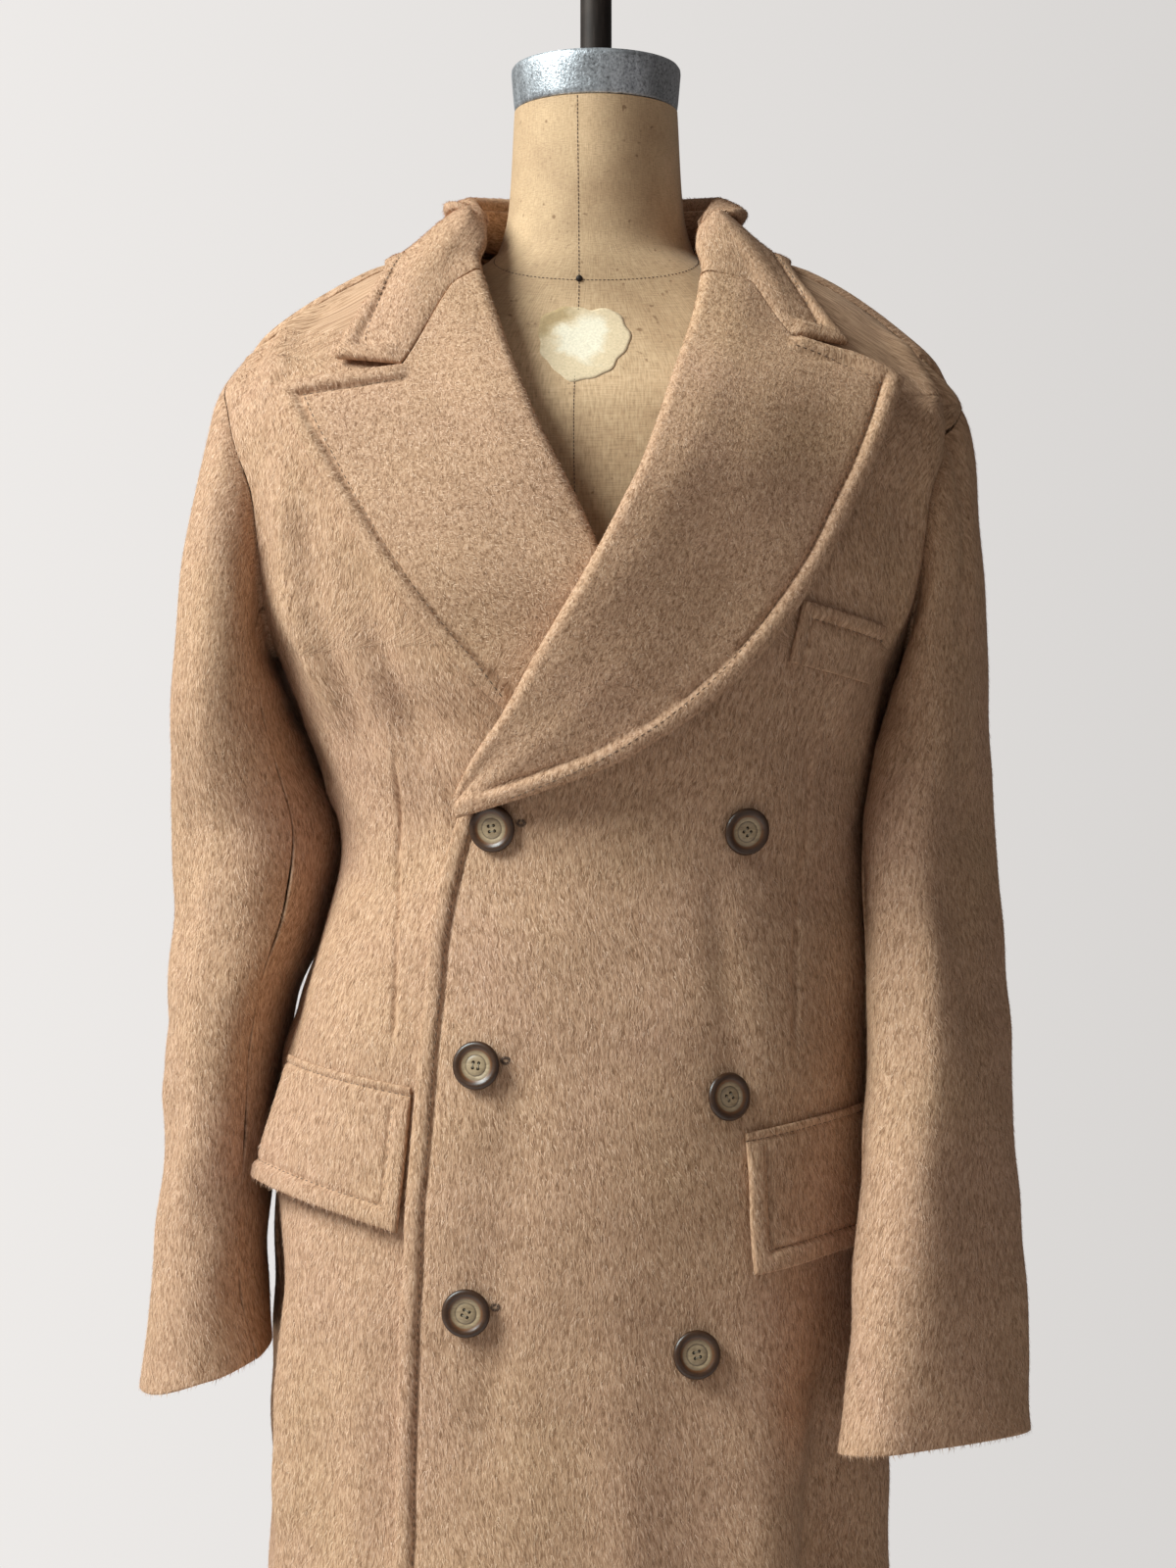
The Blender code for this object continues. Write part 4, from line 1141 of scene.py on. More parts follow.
def polished_horn():
    """Dark horn rim and a pale dished middle, with streaks, a thin ring of painted shade in the groove round
    the plate and painted shade in the holes.
    """
    look = bpy.context.scene.overcoat
    finish, tree, shader = new_finish("polished_horn", Coat_Weight=0.15, Coat_Roughness=0.22)
    radius = add_node(tree, "ShaderNodeSeparateXYZ", {"Vector": cloth_places(tree)}).outputs["Y"]
    grain = noise(tree, stretched(tree, object_places(tree), (220.0, 220.0, 620.0)), 1.0, 4.0, 0.6, 0.6)
    uneven = maths(tree, "ADD", radius, swing(tree, grain, 0.05))
    # The stop at 0.43 is painted shade: a thin dark ring in the groove round the plate.
    middle_tones_and_groove_shade = [(0.0, 1.0), (0.38, 1.0), (0.43, 0.45), (0.48, 1.15), (0.58, 0.8)]
    # The rim stops near 0.95 also colour the insides of the holes, where they are painted shade.
    rim_shades = [(0.65, 2.6), (0.74, 1.0), (0.97, 0.7)]
    stops = [(place, scaled(look.horn_middle, shade)) for place, shade in middle_tones_and_groove_shade]
    stops += [(place, scaled(look.horn_rim, shade)) for place, shade in rim_shades]
    streaky = colour_ramp(tree, grain, [(0.3, (0.6, 0.55, 0.5)), (0.65, (1.1, 1.08, 1.05))])
    set_colour(tree, shader, colour_ramp(tree, uneven, stops), streaky, 0.8)
    set_rough(tree, shader, grain, 0.32, 0.5)
    add_bump(tree, shader, grain, 0.12, 0.0004)
    return finish


def form_linen():
    """Tan linen with slubs both ways and painted shade in the gaps of its weave, darker handling marks and
    paler rubbed places.
    """
    look = bpy.context.scene.overcoat
    finish, tree, shader = new_finish("form_linen", Sheen_Weight=0.1)
    places = cloth_places(tree)
    warp = noise(tree, stretched(tree, places, (1500.0, 130.0, 1.0)), 1.0, 3.0, 0.6)
    weft = noise(tree, stretched(tree, places, (150.0, 1500.0, 1.0)), 1.0, 3.0, 0.6)
    weave = weighted(tree, warp, weft, 0.55)
    # The dark stop is painted shade in the gaps of the weave, where the weave bump is low; the pale stop is
    # the slubs.
    threads = [(0.33, look.linen_dark), (0.5, look.linen_mid), (0.68, look.linen_pale)]
    colour = colour_ramp(tree, weave, threads)
    patches = patches_on(tree, 16.0, 2.4)
    wear = [(0.2, (0.82, 0.78, 0.74)), (0.6, (1.0, 1.0, 1.0)), (0.95, (1.12, 1.13, 1.16))]
    colour = mix_colours(tree, 1.0, colour, colour_ramp(tree, patches, wear), "MULTIPLY")
    specks = noise(tree, object_places(tree), 210.0, 1.0)
    spots = [(0.70, (1, 1, 1)), (0.79, (0.55, 0.48, 0.42))]
    set_colour(tree, shader, colour, colour_ramp(tree, specks, spots))
    set_rough(tree, shader, patches, 0.7, 0.92)
    add_bump(tree, shader, weave, 0.5, 0.0006)
    return finish


def worn_paper():
    """Blank paper rubbed through to its glue."""
    finish, tree, shader = new_finish("worn_paper", Roughness=0.85)
    where = object_places(tree)
    spot = add_node(tree, "ShaderNodeSeparateXYZ", {"Vector": where})
    across = maths(tree, "SUBTRACT", spot.outputs["X"], PATCH_CENTRE[0] * MM)
    up = maths(tree, "SUBTRACT", spot.outputs["Z"], PATCH_CENTRE[1] * MM)
    ragged = swing(tree, patches_on(tree, 60.0, 2.0), PAPER_RAGGED)
    far = maths(tree, "ADD", length_of(tree, across, up), ragged)
    glue = maths(tree, "ADD", maths(tree, "SUBTRACT", up, across), ragged)
    kept = colour_ramp(tree, ramp_share(tree, far, PAPER_KEPT), [(0.0, PAPER_WHITE), (1.0, PAPER_CREAM)])
    colour = mix_colours(tree, ramp_share(tree, glue, PAPER_GLUE), kept, GLUE_TAN)
    fibres = noise(tree, where, 700.0, 3.0)
    shade = colour_ramp(tree, fibres, [(0.3, (0.85, 0.84, 0.82)), (0.7, (1.05, 1.05, 1.05))])
    set_colour(tree, shader, colour, shade)
    add_bump(tree, shader, fibres, 0.2, 0.0003)
    return finish


def pitted_casting():
    """Dull cast metal: brighter ridges, small dark pits and soft streaks down its side."""
    finish, tree, shader = new_finish("pitted_casting", Metallic=0.85)
    where = object_places(tree)
    grain = noise(tree, where, 620.0, 3.0, 0.65)
    streak = noise(tree, stretched(tree, where, (150.0, 150.0, 26.0)), 1.0, 3.0, 0.6)
    shades = [(0.28, (0.16, 0.16, 0.16)), (0.45, (0.42, 0.42, 0.43)), (0.7, (0.66, 0.66, 0.67))]
    bands = colour_ramp(tree, streak, [(0.3, (0.66, 0.66, 0.67)), (0.68, (1.12, 1.12, 1.13))])
    set_colour(tree, shader, colour_ramp(tree, grain, shades), bands)
    set_rough(tree, shader, patches_on(tree, 30.0, 2.4), 0.34, 0.6)
    add_bump(tree, shader, grain, 0.55, 0.0006)
    return finish


def rubbed_steel():
    """Dark brown-black steel with fine marks along it and brighter rubbed places."""
    if "rubbed_steel" in bpy.data.materials:
        return bpy.data.materials["rubbed_steel"]
    base = bpy.context.scene.overcoat.steel_dark
    finish, tree, shader = new_finish("rubbed_steel", Metallic=0.5, Specular_IOR_Level=0.3)
    scuffs = noise(tree, stretched(tree, object_places(tree), (420.0, 420.0, 30.0)), 1.0, 4.0, 0.6)
    marks = colour_ramp(tree, scuffs, [(0.35, scaled(base, 0.7)), (0.6, base), (0.8, scaled(base, 2.2))])
    rubs = [(0.3, (0.85, 0.8, 0.78)), (0.9, (1.3, 1.2, 1.12))]
    set_colour(tree, shader, marks, colour_ramp(tree, patches_on(tree, 22.0, 2.6), rubs))
    set_rough(tree, shader, scuffs, 0.45, 0.7)
    add_bump(tree, shader, scuffs, 0.15, 0.0003)
    return finish


# Geometry node trees for the nap and the sewing.
def nap_tree():
    """Fibres over a piece: flat tapered blades that lie along the lean of the nap."""
    if "Brushed nap" in bpy.data.node_groups:
        return bpy.data.node_groups["Brushed nap"]
    sockets = [
        ("Geometry", "NodeSocketGeometry", None),
        ("Density", "NodeSocketFloat", 300000.0),
        ("Length", "NodeSocketFloat", 0.007),
        ("Width", "NodeSocketFloat", 0.0005),
        ("Lean", "NodeSocketVector", (0, 0, -1)),
        ("Rise", "NodeSocketFloat", 0.25),
        ("Scatter", "NodeSocketFloat", 0.5),
        ("Seed", "NodeSocketInt", 1),
        ("Material", "NodeSocketMaterial", None),
    ]
    results = [("Geometry", "NodeSocketGeometry")]
    tree, given, out = new_group("Brushed nap", "GeometryNodeTree", sockets, results)
    napped = add_node(tree, "GeometryNodeInputNamedAttribute", {"Name": "napped"}, data_type="BOOLEAN")
    sowing = {"Mesh": given["Geometry"], "Selection": napped.outputs["Attribute"]}
    sowing.update({name: given[name] for name in ("Density", "Seed")})
    roots = add_node(tree, "GeometryNodeDistributePointsOnFaces", sowing, distribute_method="RANDOM")
    where = tree.nodes.new("GeometryNodeInputPosition").outputs[0]
    swirl = add_node(tree, "ShaderNodeTexNoise", {"Vector": where, "Scale": 17.0}).outputs["Fac"]
    stray = chance_of(tree, maths(tree, "MULTIPLY", given["Scatter"], -1.0), given["Scatter"], given["Seed"])
    highest, lowest = [maths(tree, "MULTIPLY", given["Rise"], share) for share in (-1.6, -0.3)]
    sideways = maths(tree, "ADD", swing(tree, swirl, 1.4), stray)
    turn = combined(tree, 0.0, chance_of(tree, highest, lowest, 7), sideways)
    blade = add_node(tree, "GeometryNodeMeshCircle", {"Vertices": 3, "Radius": 1.0}, fill_type="NGON")
    length = maths(tree, "DIVIDE", given["Length"], 1.5)
    shaping = {
        "Geometry": blade.outputs["Mesh"],
        "Translation": combined(tree, maths(tree, "DIVIDE", given["Length"], 3.0)),
        "Scale": combined(tree, length, maths(tree, "DIVIDE", given["Width"], 1.732), 1.0),
    }
    nap = {
        "Points": roots.outputs["Points"],
        "Instance": add_node(tree, "GeometryNodeTransform", shaping).outputs["Geometry"],
        "Rotation": turned_lie(tree, roots.outputs["Normal"], given["Lean"], turn),
        "Scale": chance_of(tree, 0.6, 1.3, 11),
    }
    end_with_instances(tree, out, nap, given["Material"])
    return tree


def chance_of(tree, low, high, seed):
    """A random value for each point between two values."""
    inputs = {2: low, 3: high, "Seed": seed}
    return add_node(tree, "FunctionNodeRandomValue", inputs, data_type="FLOAT").outputs[1]


def turned_lie(tree, normal, lean, turn):
    """Rotation with Z along a normal and X along a lean, then turned by angles of its own."""
    axes = {"Primary Axis": normal, "Secondary Axis": lean}
    lie = add_node(tree, "FunctionNodeAxesToRotation", axes, primary_axis="Z", secondary_axis="X")
    by = add_node(tree, "FunctionNodeEulerToRotation", {"Euler": turn})
    inputs = {"Rotation": lie.outputs["Rotation"], "Rotate By": by.outputs[0]}
    return add_node(tree, "FunctionNodeRotateRotation", inputs, rotation_space="LOCAL").outputs["Rotation"]


def end_with_instances(tree, out, inputs, material):
    """Ends a tree: instances on points, made real, with their material."""
    placed = add_node(tree, "GeometryNodeInstanceOnPoints", inputs)
    real = add_node(tree, "GeometryNodeRealizeInstances", {"Geometry": placed.outputs["Instances"]})
    dressed = {"Geometry": real.outputs["Geometry"], "Material": material}
    done = add_node(tree, "GeometryNodeSetMaterial", dressed)
    tree.links.new(done.outputs["Geometry"], out.inputs["Geometry"])


def sewing_tree():
    """Stitches along lines: small bars of thread, turned about the cloth's normal."""
    if "Row of stitches" in bpy.data.node_groups:
        return bpy.data.node_groups["Row of stitches"]
    sockets = [
        ("Geometry", "NodeSocketGeometry", None),
        ("Pitch", "NodeSocketFloat", 0.0042),
        ("Length", "NodeSocketFloat", 0.003),
        ("Width", "NodeSocketFloat", 0.0009),
        ("Turn", "NodeSocketFloat", 0.0),
        ("Material", "NodeSocketMaterial", None),
    ]
    results = [("Geometry", "NodeSocketGeometry")]
    tree, given, out = new_group("Row of stitches", "GeometryNodeTree", sockets, results)
    line = add_node(tree, "GeometryNodeMeshToCurve", {"Mesh": given["Geometry"]})
    spacing = {"Curve": line.outputs["Curve"], "Length": given["Pitch"]}
    spots = add_node(tree, "GeometryNodeCurveToPoints", spacing, mode="LENGTH")
    outward = add_node(tree, "GeometryNodeInputNamedAttribute", {"Name": "outward"}, data_type="FLOAT_VECTOR")
    turn = combined(tree, 0.0, 0.0, given["Turn"])
    bar = add_node(tree, "GeometryNodeMeshUVSphere", {"Segments": 6, "Rings": 4, "Radius": 0.5})
    size = combined(tree, given["Length"], given["Width"], given["Width"])
    stitch = add_node(tree, "GeometryNodeTransform", {"Geometry": bar.outputs["Mesh"], "Scale": size})
    sewn = {
        "Points": spots.outputs["Points"],
        "Instance": stitch.outputs["Geometry"],
        "Rotation": turned_lie(tree, outward.outputs["Attribute"], spots.outputs["Tangent"], turn),
    }
    end_with_instances(tree, out, sewn, given["Material"])
    return tree


def run_tree(name, source, tree, values):
    """Plain mesh piece made by a tree on a source mesh."""
    holder = bpy.data.objects.new(name, source)
    bpy.context.scene.collection.objects.link(holder)
    modifier = holder.modifiers.new("Tree", "NODES")
    modifier.node_group = tree
    sockets = {item.name: item.identifier for item in tree.interface.items_tree if item.in_out == "INPUT"}
    for label, value in values.items():
        modifier[sockets[label]] = value
    graph = bpy.context.evaluated_depsgraph_get()
    made = bpy.data.meshes.new_from_object(holder.evaluated_get(graph))
    bpy.data.objects.remove(holder)
    made.name = name
    piece = bpy.data.objects.new(name, made)
    bpy.context.scene.collection.objects.link(piece)
    if not made.polygons:
        raise RuntimeError(f"{name} has no faces")
    return piece


def make_nap(name, mesh, lean=(0, 0, -1), share=1.0, pile=1.0):
    """Nap of one cloth piece; a low pile has short fibres that stray further."""
    look = bpy.context.scene.overcoat
    values = {
        "Density": look.nap_density * share * 1.0,
        "Length": look.nap_length * pile,
        "Width": look.nap_width,
        "Lean": lean,
        "Rise": look.nap_rise,
        "Scatter": look.nap_scatter / pile ** 2,
        "Seed": look.seed,
        "Material": camel_nap(),
    }
    return run_tree(name, mesh.copy(), nap_tree(), values)


def make_stitches(name, paths, thread, turn=0.0, sizes=None):
    """Rows of stitches along paths of points and normals in the row frame."""
    look = bpy.context.scene.overcoat
    points = []
    normals = []
    edges = []
    for spots, outward in paths:
        first = len(points)
        points += [tuple(p) for p in spots]
        normals += [tuple(n) for n in outward]
        edges += [(first + k, first + k + 1) for k in range(len(spots) - 1)]
    line = bpy.data.meshes.new(name)
    line.from_pydata(points, edges, [])
    line.attributes.new("outward", "FLOAT_VECTOR", "POINT").data.foreach_set("vector", np.ravel(normals))
    length, pitch, width = sizes or (look.stitch_length, look.stitch_pitch, look.stitch_width)
    values = {"Pitch": pitch, "Length": length, "Width": width, "Turn": turn, "Material": thread}
    return run_tree(name, line, sewing_tree(), values)


def dress(node, mesh, lean=(0, 0, -1), share=1.0, sewing=(), pile=1.0):
    """Puts a cloth piece in place of its solid, with its nap, its sewing and its cut."""
    piece = add_piece(f"cloth_{node}", mesh, [camel_cloth(pile < 1.0)])
    trims = [make_nap(f"nap_{node}", mesh, lean, share, pile)] if share else []
    if sewing:
        camel_thread = sewing_thread("camel_thread", bpy.context.scene.overcoat.thread)
        trims.append(make_stitches(f"stitches_{node}", sewing, camel_thread))
    keep_on_frame(piece, node)
    for trim in trims:
        keep_on_frame(trim)


# Body panels.
def panel_rows(side):
    """Row heights of a front, closer round the armhole and on the shoulder."""
    centre, half = armhole(side)
    low = [HEM_Z + d for d in SEAM_STEPS]
    low += list(np.linspace(HEM_Z + 12, ARMPIT_Z - 7, SKIRT_ROWS))
    arch = [centre - half * math.cos(math.pi * k / ARCH_ROWS) for k in range(ARCH_ROWS + 1)]
    neck = NECK_Z - NECK_MARGIN
    top = list(np.linspace(arch[-1] + 2.5, neck - SEAM_STEPS[-1], SHOULDER_ROWS))
    top += [neck - d for d in reversed(SEAM_STEPS[:-1])]
    return np.array(low + arch + top)


def back_rows():
    """Row heights of the back, from both fronts' rows."""
    heights = []
    near = SEAM_STEPS[-1]
    for z in np.sort(np.concatenate((panel_rows("left"), panel_rows("right")))):
        if not heights or z - heights[-1] > ROW_LEAST or z - HEM_Z < near or NECK_Z - z < near:
            heights.append(z)
    return np.unique(np.array(heights))


def row_shares(heights):
    """Heights with rows added to suit the coarse inner side."""
    span = heights[-1] - heights[0]
    return even_out((heights - heights[0]) / span) * span + heights[0]


def lapel_outline(lapel, roll):
    """Front-view outline of a lapel and a little more."""
    heights = np.linspace(*lapel["roll_z"], 10)
    return shrunk([*roll(heights).tolist(), *lapel["top"], *reversed(lapel["belly"])], LAPEL_COVER)


def shoulder_roll(z, side_distance, side):
    """Full rolled edge of the back where it meets the front on the shoulder."""
    low, high = SHOULDER_ROLL_RISE
    above = step(z, SHOULDER_Z[side] + low, SHOULDER_Z[side] + high)
    rolled = SHOULDER_ROLL * bump(side_distance - SHOULDER_ROLL_AT, SHOULDER_ROLL_WIDTH)
    return above * (rolled - SHOULDER_SINK)


def make_front(side):
    """One front: side seam, armhole, shoulder, dart and free edge."""
    over = side == "over"
    hand = "right" if over else "left"
    edge = OVER_EDGE if over else UNDER_EDGE
    z = row_shares(panel_rows(hand))
    seam = side_line(z, hand, True)
    free = front_angle(edge.at(z, "x") + roll_set_back(z, side), z)
    low = np.minimum(seam, free) + DART_MARGIN
    high = np.maximum(seam, free) - DART_MARGIN
    dart = front_angle(DARTS[side].at(z, "x"), z)
    dart = np.clip(dart, *[mix(low, high, share) for share in DART_SHARES])
    to_dart = spread(SIDE_WIDTH, SEAM_STEPS, DART_STEPS, PANEL_PITCH)
    to_edge = spread(FRONT_WIDTH[side], DART_STEPS, EDGE_STEPS, PANEL_PITCH)
    shares = even_out(np.concatenate((to_dart[:-1], 1 + to_edge)))
    f = shares[None, :]
    angle = np.where(f < 1, mix(seam[:, None], dart[:, None], f), mix(dart[:, None], free[:, None], f - 1))
    heights = np.broadcast_to(z[:, None], angle.shape)
    x = ring_point(angle, heights)[..., 0]
    lift = over_lift(x, heights) if over else np.zeros_like(x)
    sheet = Sheet(on_coat(angle, heights, lift), ring_normal(angle, heights))
    dart_column = nearest(shares, 1.0)
    from_dart = np.abs(sheet.first - sheet.first[:, dart_column:dart_column + 1])
    sewn = step(heights, *DART_FADE_IN) * (1 - step(heights, *DART_FADE_OUT))
    relief = groove(from_dart, 0.0, DART_DEPTH, DART_WIDTH) * sewn
    relief = relief + swelled_edge(sheet.last, FRONT_PUFF) * (1 - step(heights, *EDGE_END_Z))
    above = step(heights, SHOULDER_Z[hand], SHOULDER_Z[hand] + FRONT_SINK_RISE)
    relief = relief - above * (FRONT_SINK[0] + FRONT_SINK[1] * bump(sheet.first, FRONT_SINK_WIDTH))
    outlines = [lapel_outline(OVER_LAPEL, over_roll), lapel_outline(UNDER_LAPEL, under_roll)]
    outlines += [shrunk(p, POCKET_COVER) for p in ([FLAP_OVER, BREAST_WELT] if over else [FLAP_UNDER])]
    hidden = np.any([inside(outline, x, heights) for outline in outlines], axis=0)
    if not over:
        hidden |= x > OVER_EDGE.at(heights, "x") + OVERLAP_COVER
    soft = {"first": SEWN_SOFT, "last": EDGE_SOFT}
    mesh = sheet.shell(f"cloth_front_{side}", PANEL_HALF, relief, ~hidden, soft)
    sewing = []
    if over:
        column = nearest(sheet.last[len(z) // 4], EDGE_GROOVE)
        sewing = [sheet.column_path(column, len(SEAM_STEPS), nearest(z, EDGE_SEWN_Z))]
    node = f"front_{side}"
    dress(node, mesh, sewing=sewing)


def shrunk(outline, inset):
    """Outline with its corners drawn in towards its middle."""
    spots = np.array(outline, float)
    middle = spots.mean(axis=0)
    away = spots - middle
    length = np.linalg.norm(away, axis=1, keepdims=True)
    return (middle + away * np.maximum(0.0, 1 - inset / length)).tolist()


def make_back():
    """The back from side seam to side seam, with its rolled edges on the shoulders."""
    z = row_shares(back_rows())
    first = side_line(z, "left", False) - 360
    last = side_line(z, "right", False)
    sides = SEAM_STEPS + (9.0, 13.0, 17.0)
    shares = even_out(spread(BACK_WIDTH, sides, sides, BACK_PITCH))
    angle = mix(first[:, None], last[:, None], shares[None, :])
    heights = np.broadcast_to(z[:, None], angle.shape)
    sheet = Sheet(on_coat(angle, heights), ring_normal(angle, heights))
    relief = shoulder_roll(heights, sheet.first, "left") + shoulder_roll(heights, sheet.last, "right")
    sewn = {"first": SEWN_SOFT, "last": SEWN_SOFT}
    mesh = sheet.shell("cloth_back", PANEL_HALF, relief, heights < BACK_NAP_Z, sewn)
    dress("back", mesh, share=0.45)


# Lapels.
def roll_set_back(z, side):
    """How far the flat part of a lapel starts from the free edge of its front."""
    hand = 1 if side == "over" else -1
    return hand * ROLL_RADIUS * step(z, *ROLL_FULL_Z[side]) + ROLL_SHIFT[side].at(z, "x")


def over_roll(z):
    """Line of the over lapel where its flat part meets its roll."""
    x = OVER_EDGE.at(z, "x") - LAPEL_ROLL_OUT + roll_set_back(z, "over")
    return np.stack(np.broadcast_arrays(x, z), axis=-1)


def under_roll(z):
    """Line of the under lapel where its roll starts, tucked beneath the over front lower down."""
    x = UNDER_EDGE.at(z, "x") + LAPEL_ROLL_OUT + roll_set_back(z, "under")
    x = np.minimum(x, OVER_EDGE.at(z, "x") + LAPEL_TUCK)
    return np.stack(np.broadcast_arrays(x, z), axis=-1)


def with_roll(grid, outward, radius, tail, upright=0.0):
    """Grid with columns added before its first one, rolled under it, and its normals.

    An upright roll turns until it runs straight down, any other one until it lies under the grid.
    """
    edge = grid[:, 0]
    away = unit(edge - grid[:, 1])
    normal = unit(np.cross(away, np.gradient(edge, axis=0)))
    normal *= np.sign(np.sum(normal * outward[:, 0], axis=-1, keepdims=True))
    turn = mix(ROLL_TURN, math.pi - np.arccos(np.clip(away[:, 2:], -1, 1)), upright)
    columns = []
    for share, past in ROLL_PLACES:
        a = turn * share
        spot = edge + away * radius * np.sin(a) - normal * radius * (1 - np.cos(a))
        columns.append(spot + (away * np.cos(a) - normal * np.sin(a)) * tail * past)
    rolled = np.stack(columns, axis=1)
    facing = np.repeat(outward[:, :1], len(columns), axis=1)
    return np.concatenate((rolled, grid), axis=1), np.concatenate((facing, outward), axis=1)


def lapel_spot(lapel, roll, u, v):
    """Front-view places on a lapel: u from roll line to outer edge, v from bottom to top."""
    low_z, high_z = lapel["roll_z"]
    inner = roll(mix(low_z, high_z, v))
    outer = rounded(lapel["belly"], v)
    low_in, top_in = roll(np.array((low_z, high_z), float))
    low_out, top_out = np.array((lapel["belly"][0], lapel["belly"][-1]), float)
    crown = along([top_in, *lapel["top"], top_out], u)
    u = u[..., None]
    v = v[..., None]
    bottom = mix(low_in, low_out, u)
    corners = mix(bottom, mix(top_in, top_out, u), v)
    return inner * (1 - u) + outer * u + bottom * (1 - v) + crown * v - corners


def lapel_lift(lapel, u, v):
    drop = LAPEL_ROLL_DROP * (1 - step(u, *LAPEL_ROLL_U)) * step(v, *LAPEL_ROLL_V)
    stand = lapel["low_stand"] * (1 - step(v, *LAPEL_LOW_V)) * step(u, *LAPEL_LOW_U)
    bulge = LAPEL_BULGE * (1 - step(u, *LAPEL_BULGE_U)) * step(v, *LAPEL_ROLL_V)
    edge = LAPEL_EDGE_STAND * step(u, *LAPEL_EDGE_U) * step(v, *LAPEL_ROLL_V)
    return LAPEL_LIFT - drop + stand + bulge + edge


def make_lapel(side):
    """Lapel that rolls over the free edge of its front, with sewn outer and top edges."""
    over = side == "over"
    lapel = OVER_LAPEL if over else UNDER_LAPEL
    roll = over_roll if over else under_roll
    place = on_over if over else on_under
    u = even_out(spread(LAPEL_SIZE[0], LAPEL_ROLL_STEPS, EDGE_STEPS, LAPEL_PITCH))
    v = even_out(spread(LAPEL_SIZE[1], LAPEL_FOOT_STEPS, EDGE_STEPS, LAPEL_PITCH))
    u, v = np.meshgrid(u, v)
    spot = lapel_spot(lapel, roll, u, v)
    x = spot[..., 0]
    z = spot[..., 1]
    flat = place(x, z, lapel_lift(lapel, u, v))
    radius = ROLL_RADIUS * mix(ROLL_SMALL, 1.0, step(v[:, :1], *LAPEL_ROLL_GROWS_V))
    sheet = Sheet(*with_roll(flat, ring_normal(front_angle(x, z), z), radius, LAPEL_TAIL))
    u = np.concatenate((np.zeros((len(u), len(ROLL_PLACES))), u), axis=1)
    narrow = step(sheet.first[:, -1:], *LAPEL_SWELLS_AT)
    notch = along_share([roll(np.float64(lapel["roll_z"][1])), *lapel["top"], lapel["belly"][-1]], 2)
    free = step(u, notch, notch + 0.03) > 0.5
    relief = swelled_edge(sheet.last, LAPEL_PUFF) * narrow
    relief = np.where(free & (sheet.top < sheet.last), swelled_edge(sheet.top, LAPEL_PUFF), relief)
    sewn = (sheet.top < GORGE_REACH) & (u < notch)
    soft = {"top": np.where(sewn, SEWN_SOFT, EDGE_SOFT), "last": EDGE_SOFT}
    node = f"lapel_{side}"
    mesh = sheet.shell(f"cloth_{node}", LAPEL_HALF, relief, soft=soft)
    column = nearest(sheet.last[len(v) // 2], EDGE_GROOVE)
    row = nearest(sheet.top[:, -20], EDGE_GROOVE)
    first = int(np.argmax(u[0] > notch + 0.02))
    sewing = [
        sheet.column_path(column, int(len(v) * LAPEL_SEWN_V), row + 1),
        sheet.row_path(row, first, column + 1),
    ]
    lean = (-LAPEL_LEAN if over else LAPEL_LEAN, 0, -1)
    dress(node, mesh, lean, share=1.25, sewing=sewing, pile=0.62)


def along_share(outline, index):
    """Share of an outline's length at one of its bends."""
    spans = np.linalg.norm(np.diff(np.array(outline, float), axis=0), axis=1)
    return spans[:index].sum() / spans.sum()


# Collar.
def neck_angle(side, z):
    """Angle of a front's neck edge, measured as on the right side."""
    if side == "right":
        edge = front_angle(OVER_EDGE.at(z, "x"), z)
    else:
        edge = 180 - front_angle(UNDER_EDGE.at(z, "x"), z)
    return np.where(z > NECK_Z, -90.0, edge)


def mirrored(side, angle):
    return angle if side == "right" else 180 - angle


def stand_places(s, share, side):
    """Angle and height on the collar stand, from its base up."""
    fold_z = COLLAR.at(s, "fold_z") - FOLD_LOWER.at(s, "drop")
    z = mix(COLLAR.at(s, "base_z"), np.maximum(fold_z - STAND_BELOW, COLLAR.at(s, "base_z") + 2.0), share)
    angle = mix(COLLAR.at(s, "base_angle"), COLLAR.at(s, "fold_angle"), share)
    return np.maximum(angle, neck_angle(side, z) + STAND_MARGIN), z


def fall_places(s, k, side):
    """Angle, height and lift on the collar: k is 0 at the fold and 1 at the outer edge."""
    end = step(s, FALL_END_S, 1.0)
    fold_z = COLLAR.at(s, "fold_z") - FOLD_LOWER.at(s, "drop")
    fold_turn = np.maximum(COLLAR.at(s, "fold_angle"), neck_angle(side, fold_z) + FOLD_MARGIN)
    front = along(COLLAR_FRONT[side], k)
    angle = mix(fold_turn, COLLAR.at(s, "edge_angle"), k)
    z = mix(fold_z, COLLAR.at(s, "edge_z"), k)
    x = mix(ring_point(mirrored(side, angle), z)[..., 0], front[..., 0], end)
    z = mix(z, front[..., 1], end)
    angle = np.where(end > 0, mirrored(side, front_angle(x, z)), angle)
    fold_lift = mix(FOLD_LIFT, FOLD_END_LIFT, step(s, *FOLD_LIFT_S))
    edge_lift = mix(*FALL_LIFT, step(s, *FALL_LIFT_S))
    settled = mix(*FOLD_SETTLES, step(s, *FOLD_LIFT_S))
    rise = mix(fold_lift, edge_lift, step(k, 0, settled))
    bulge = FALL_BULGE * k * (1 - k) ** 2 * (COLLAR.at(s, "mid_lift") - edge_lift)
    return mirrored(side, angle), z, rise + bulge


def both_sides(places, s, across):
    """Grid of a collar part from its left end round the back to its right end."""
    s, across = np.meshgrid(s, across, indexing="ij")
    left = [part[::-1] for part in places(s, across, "left")]
    right = [part[1:] for part in places(s, across, "right")]
    left[0] = left[0] - 360 * (left[0] > 180)
    return [np.concatenate(pair) for pair in zip(left, right)]


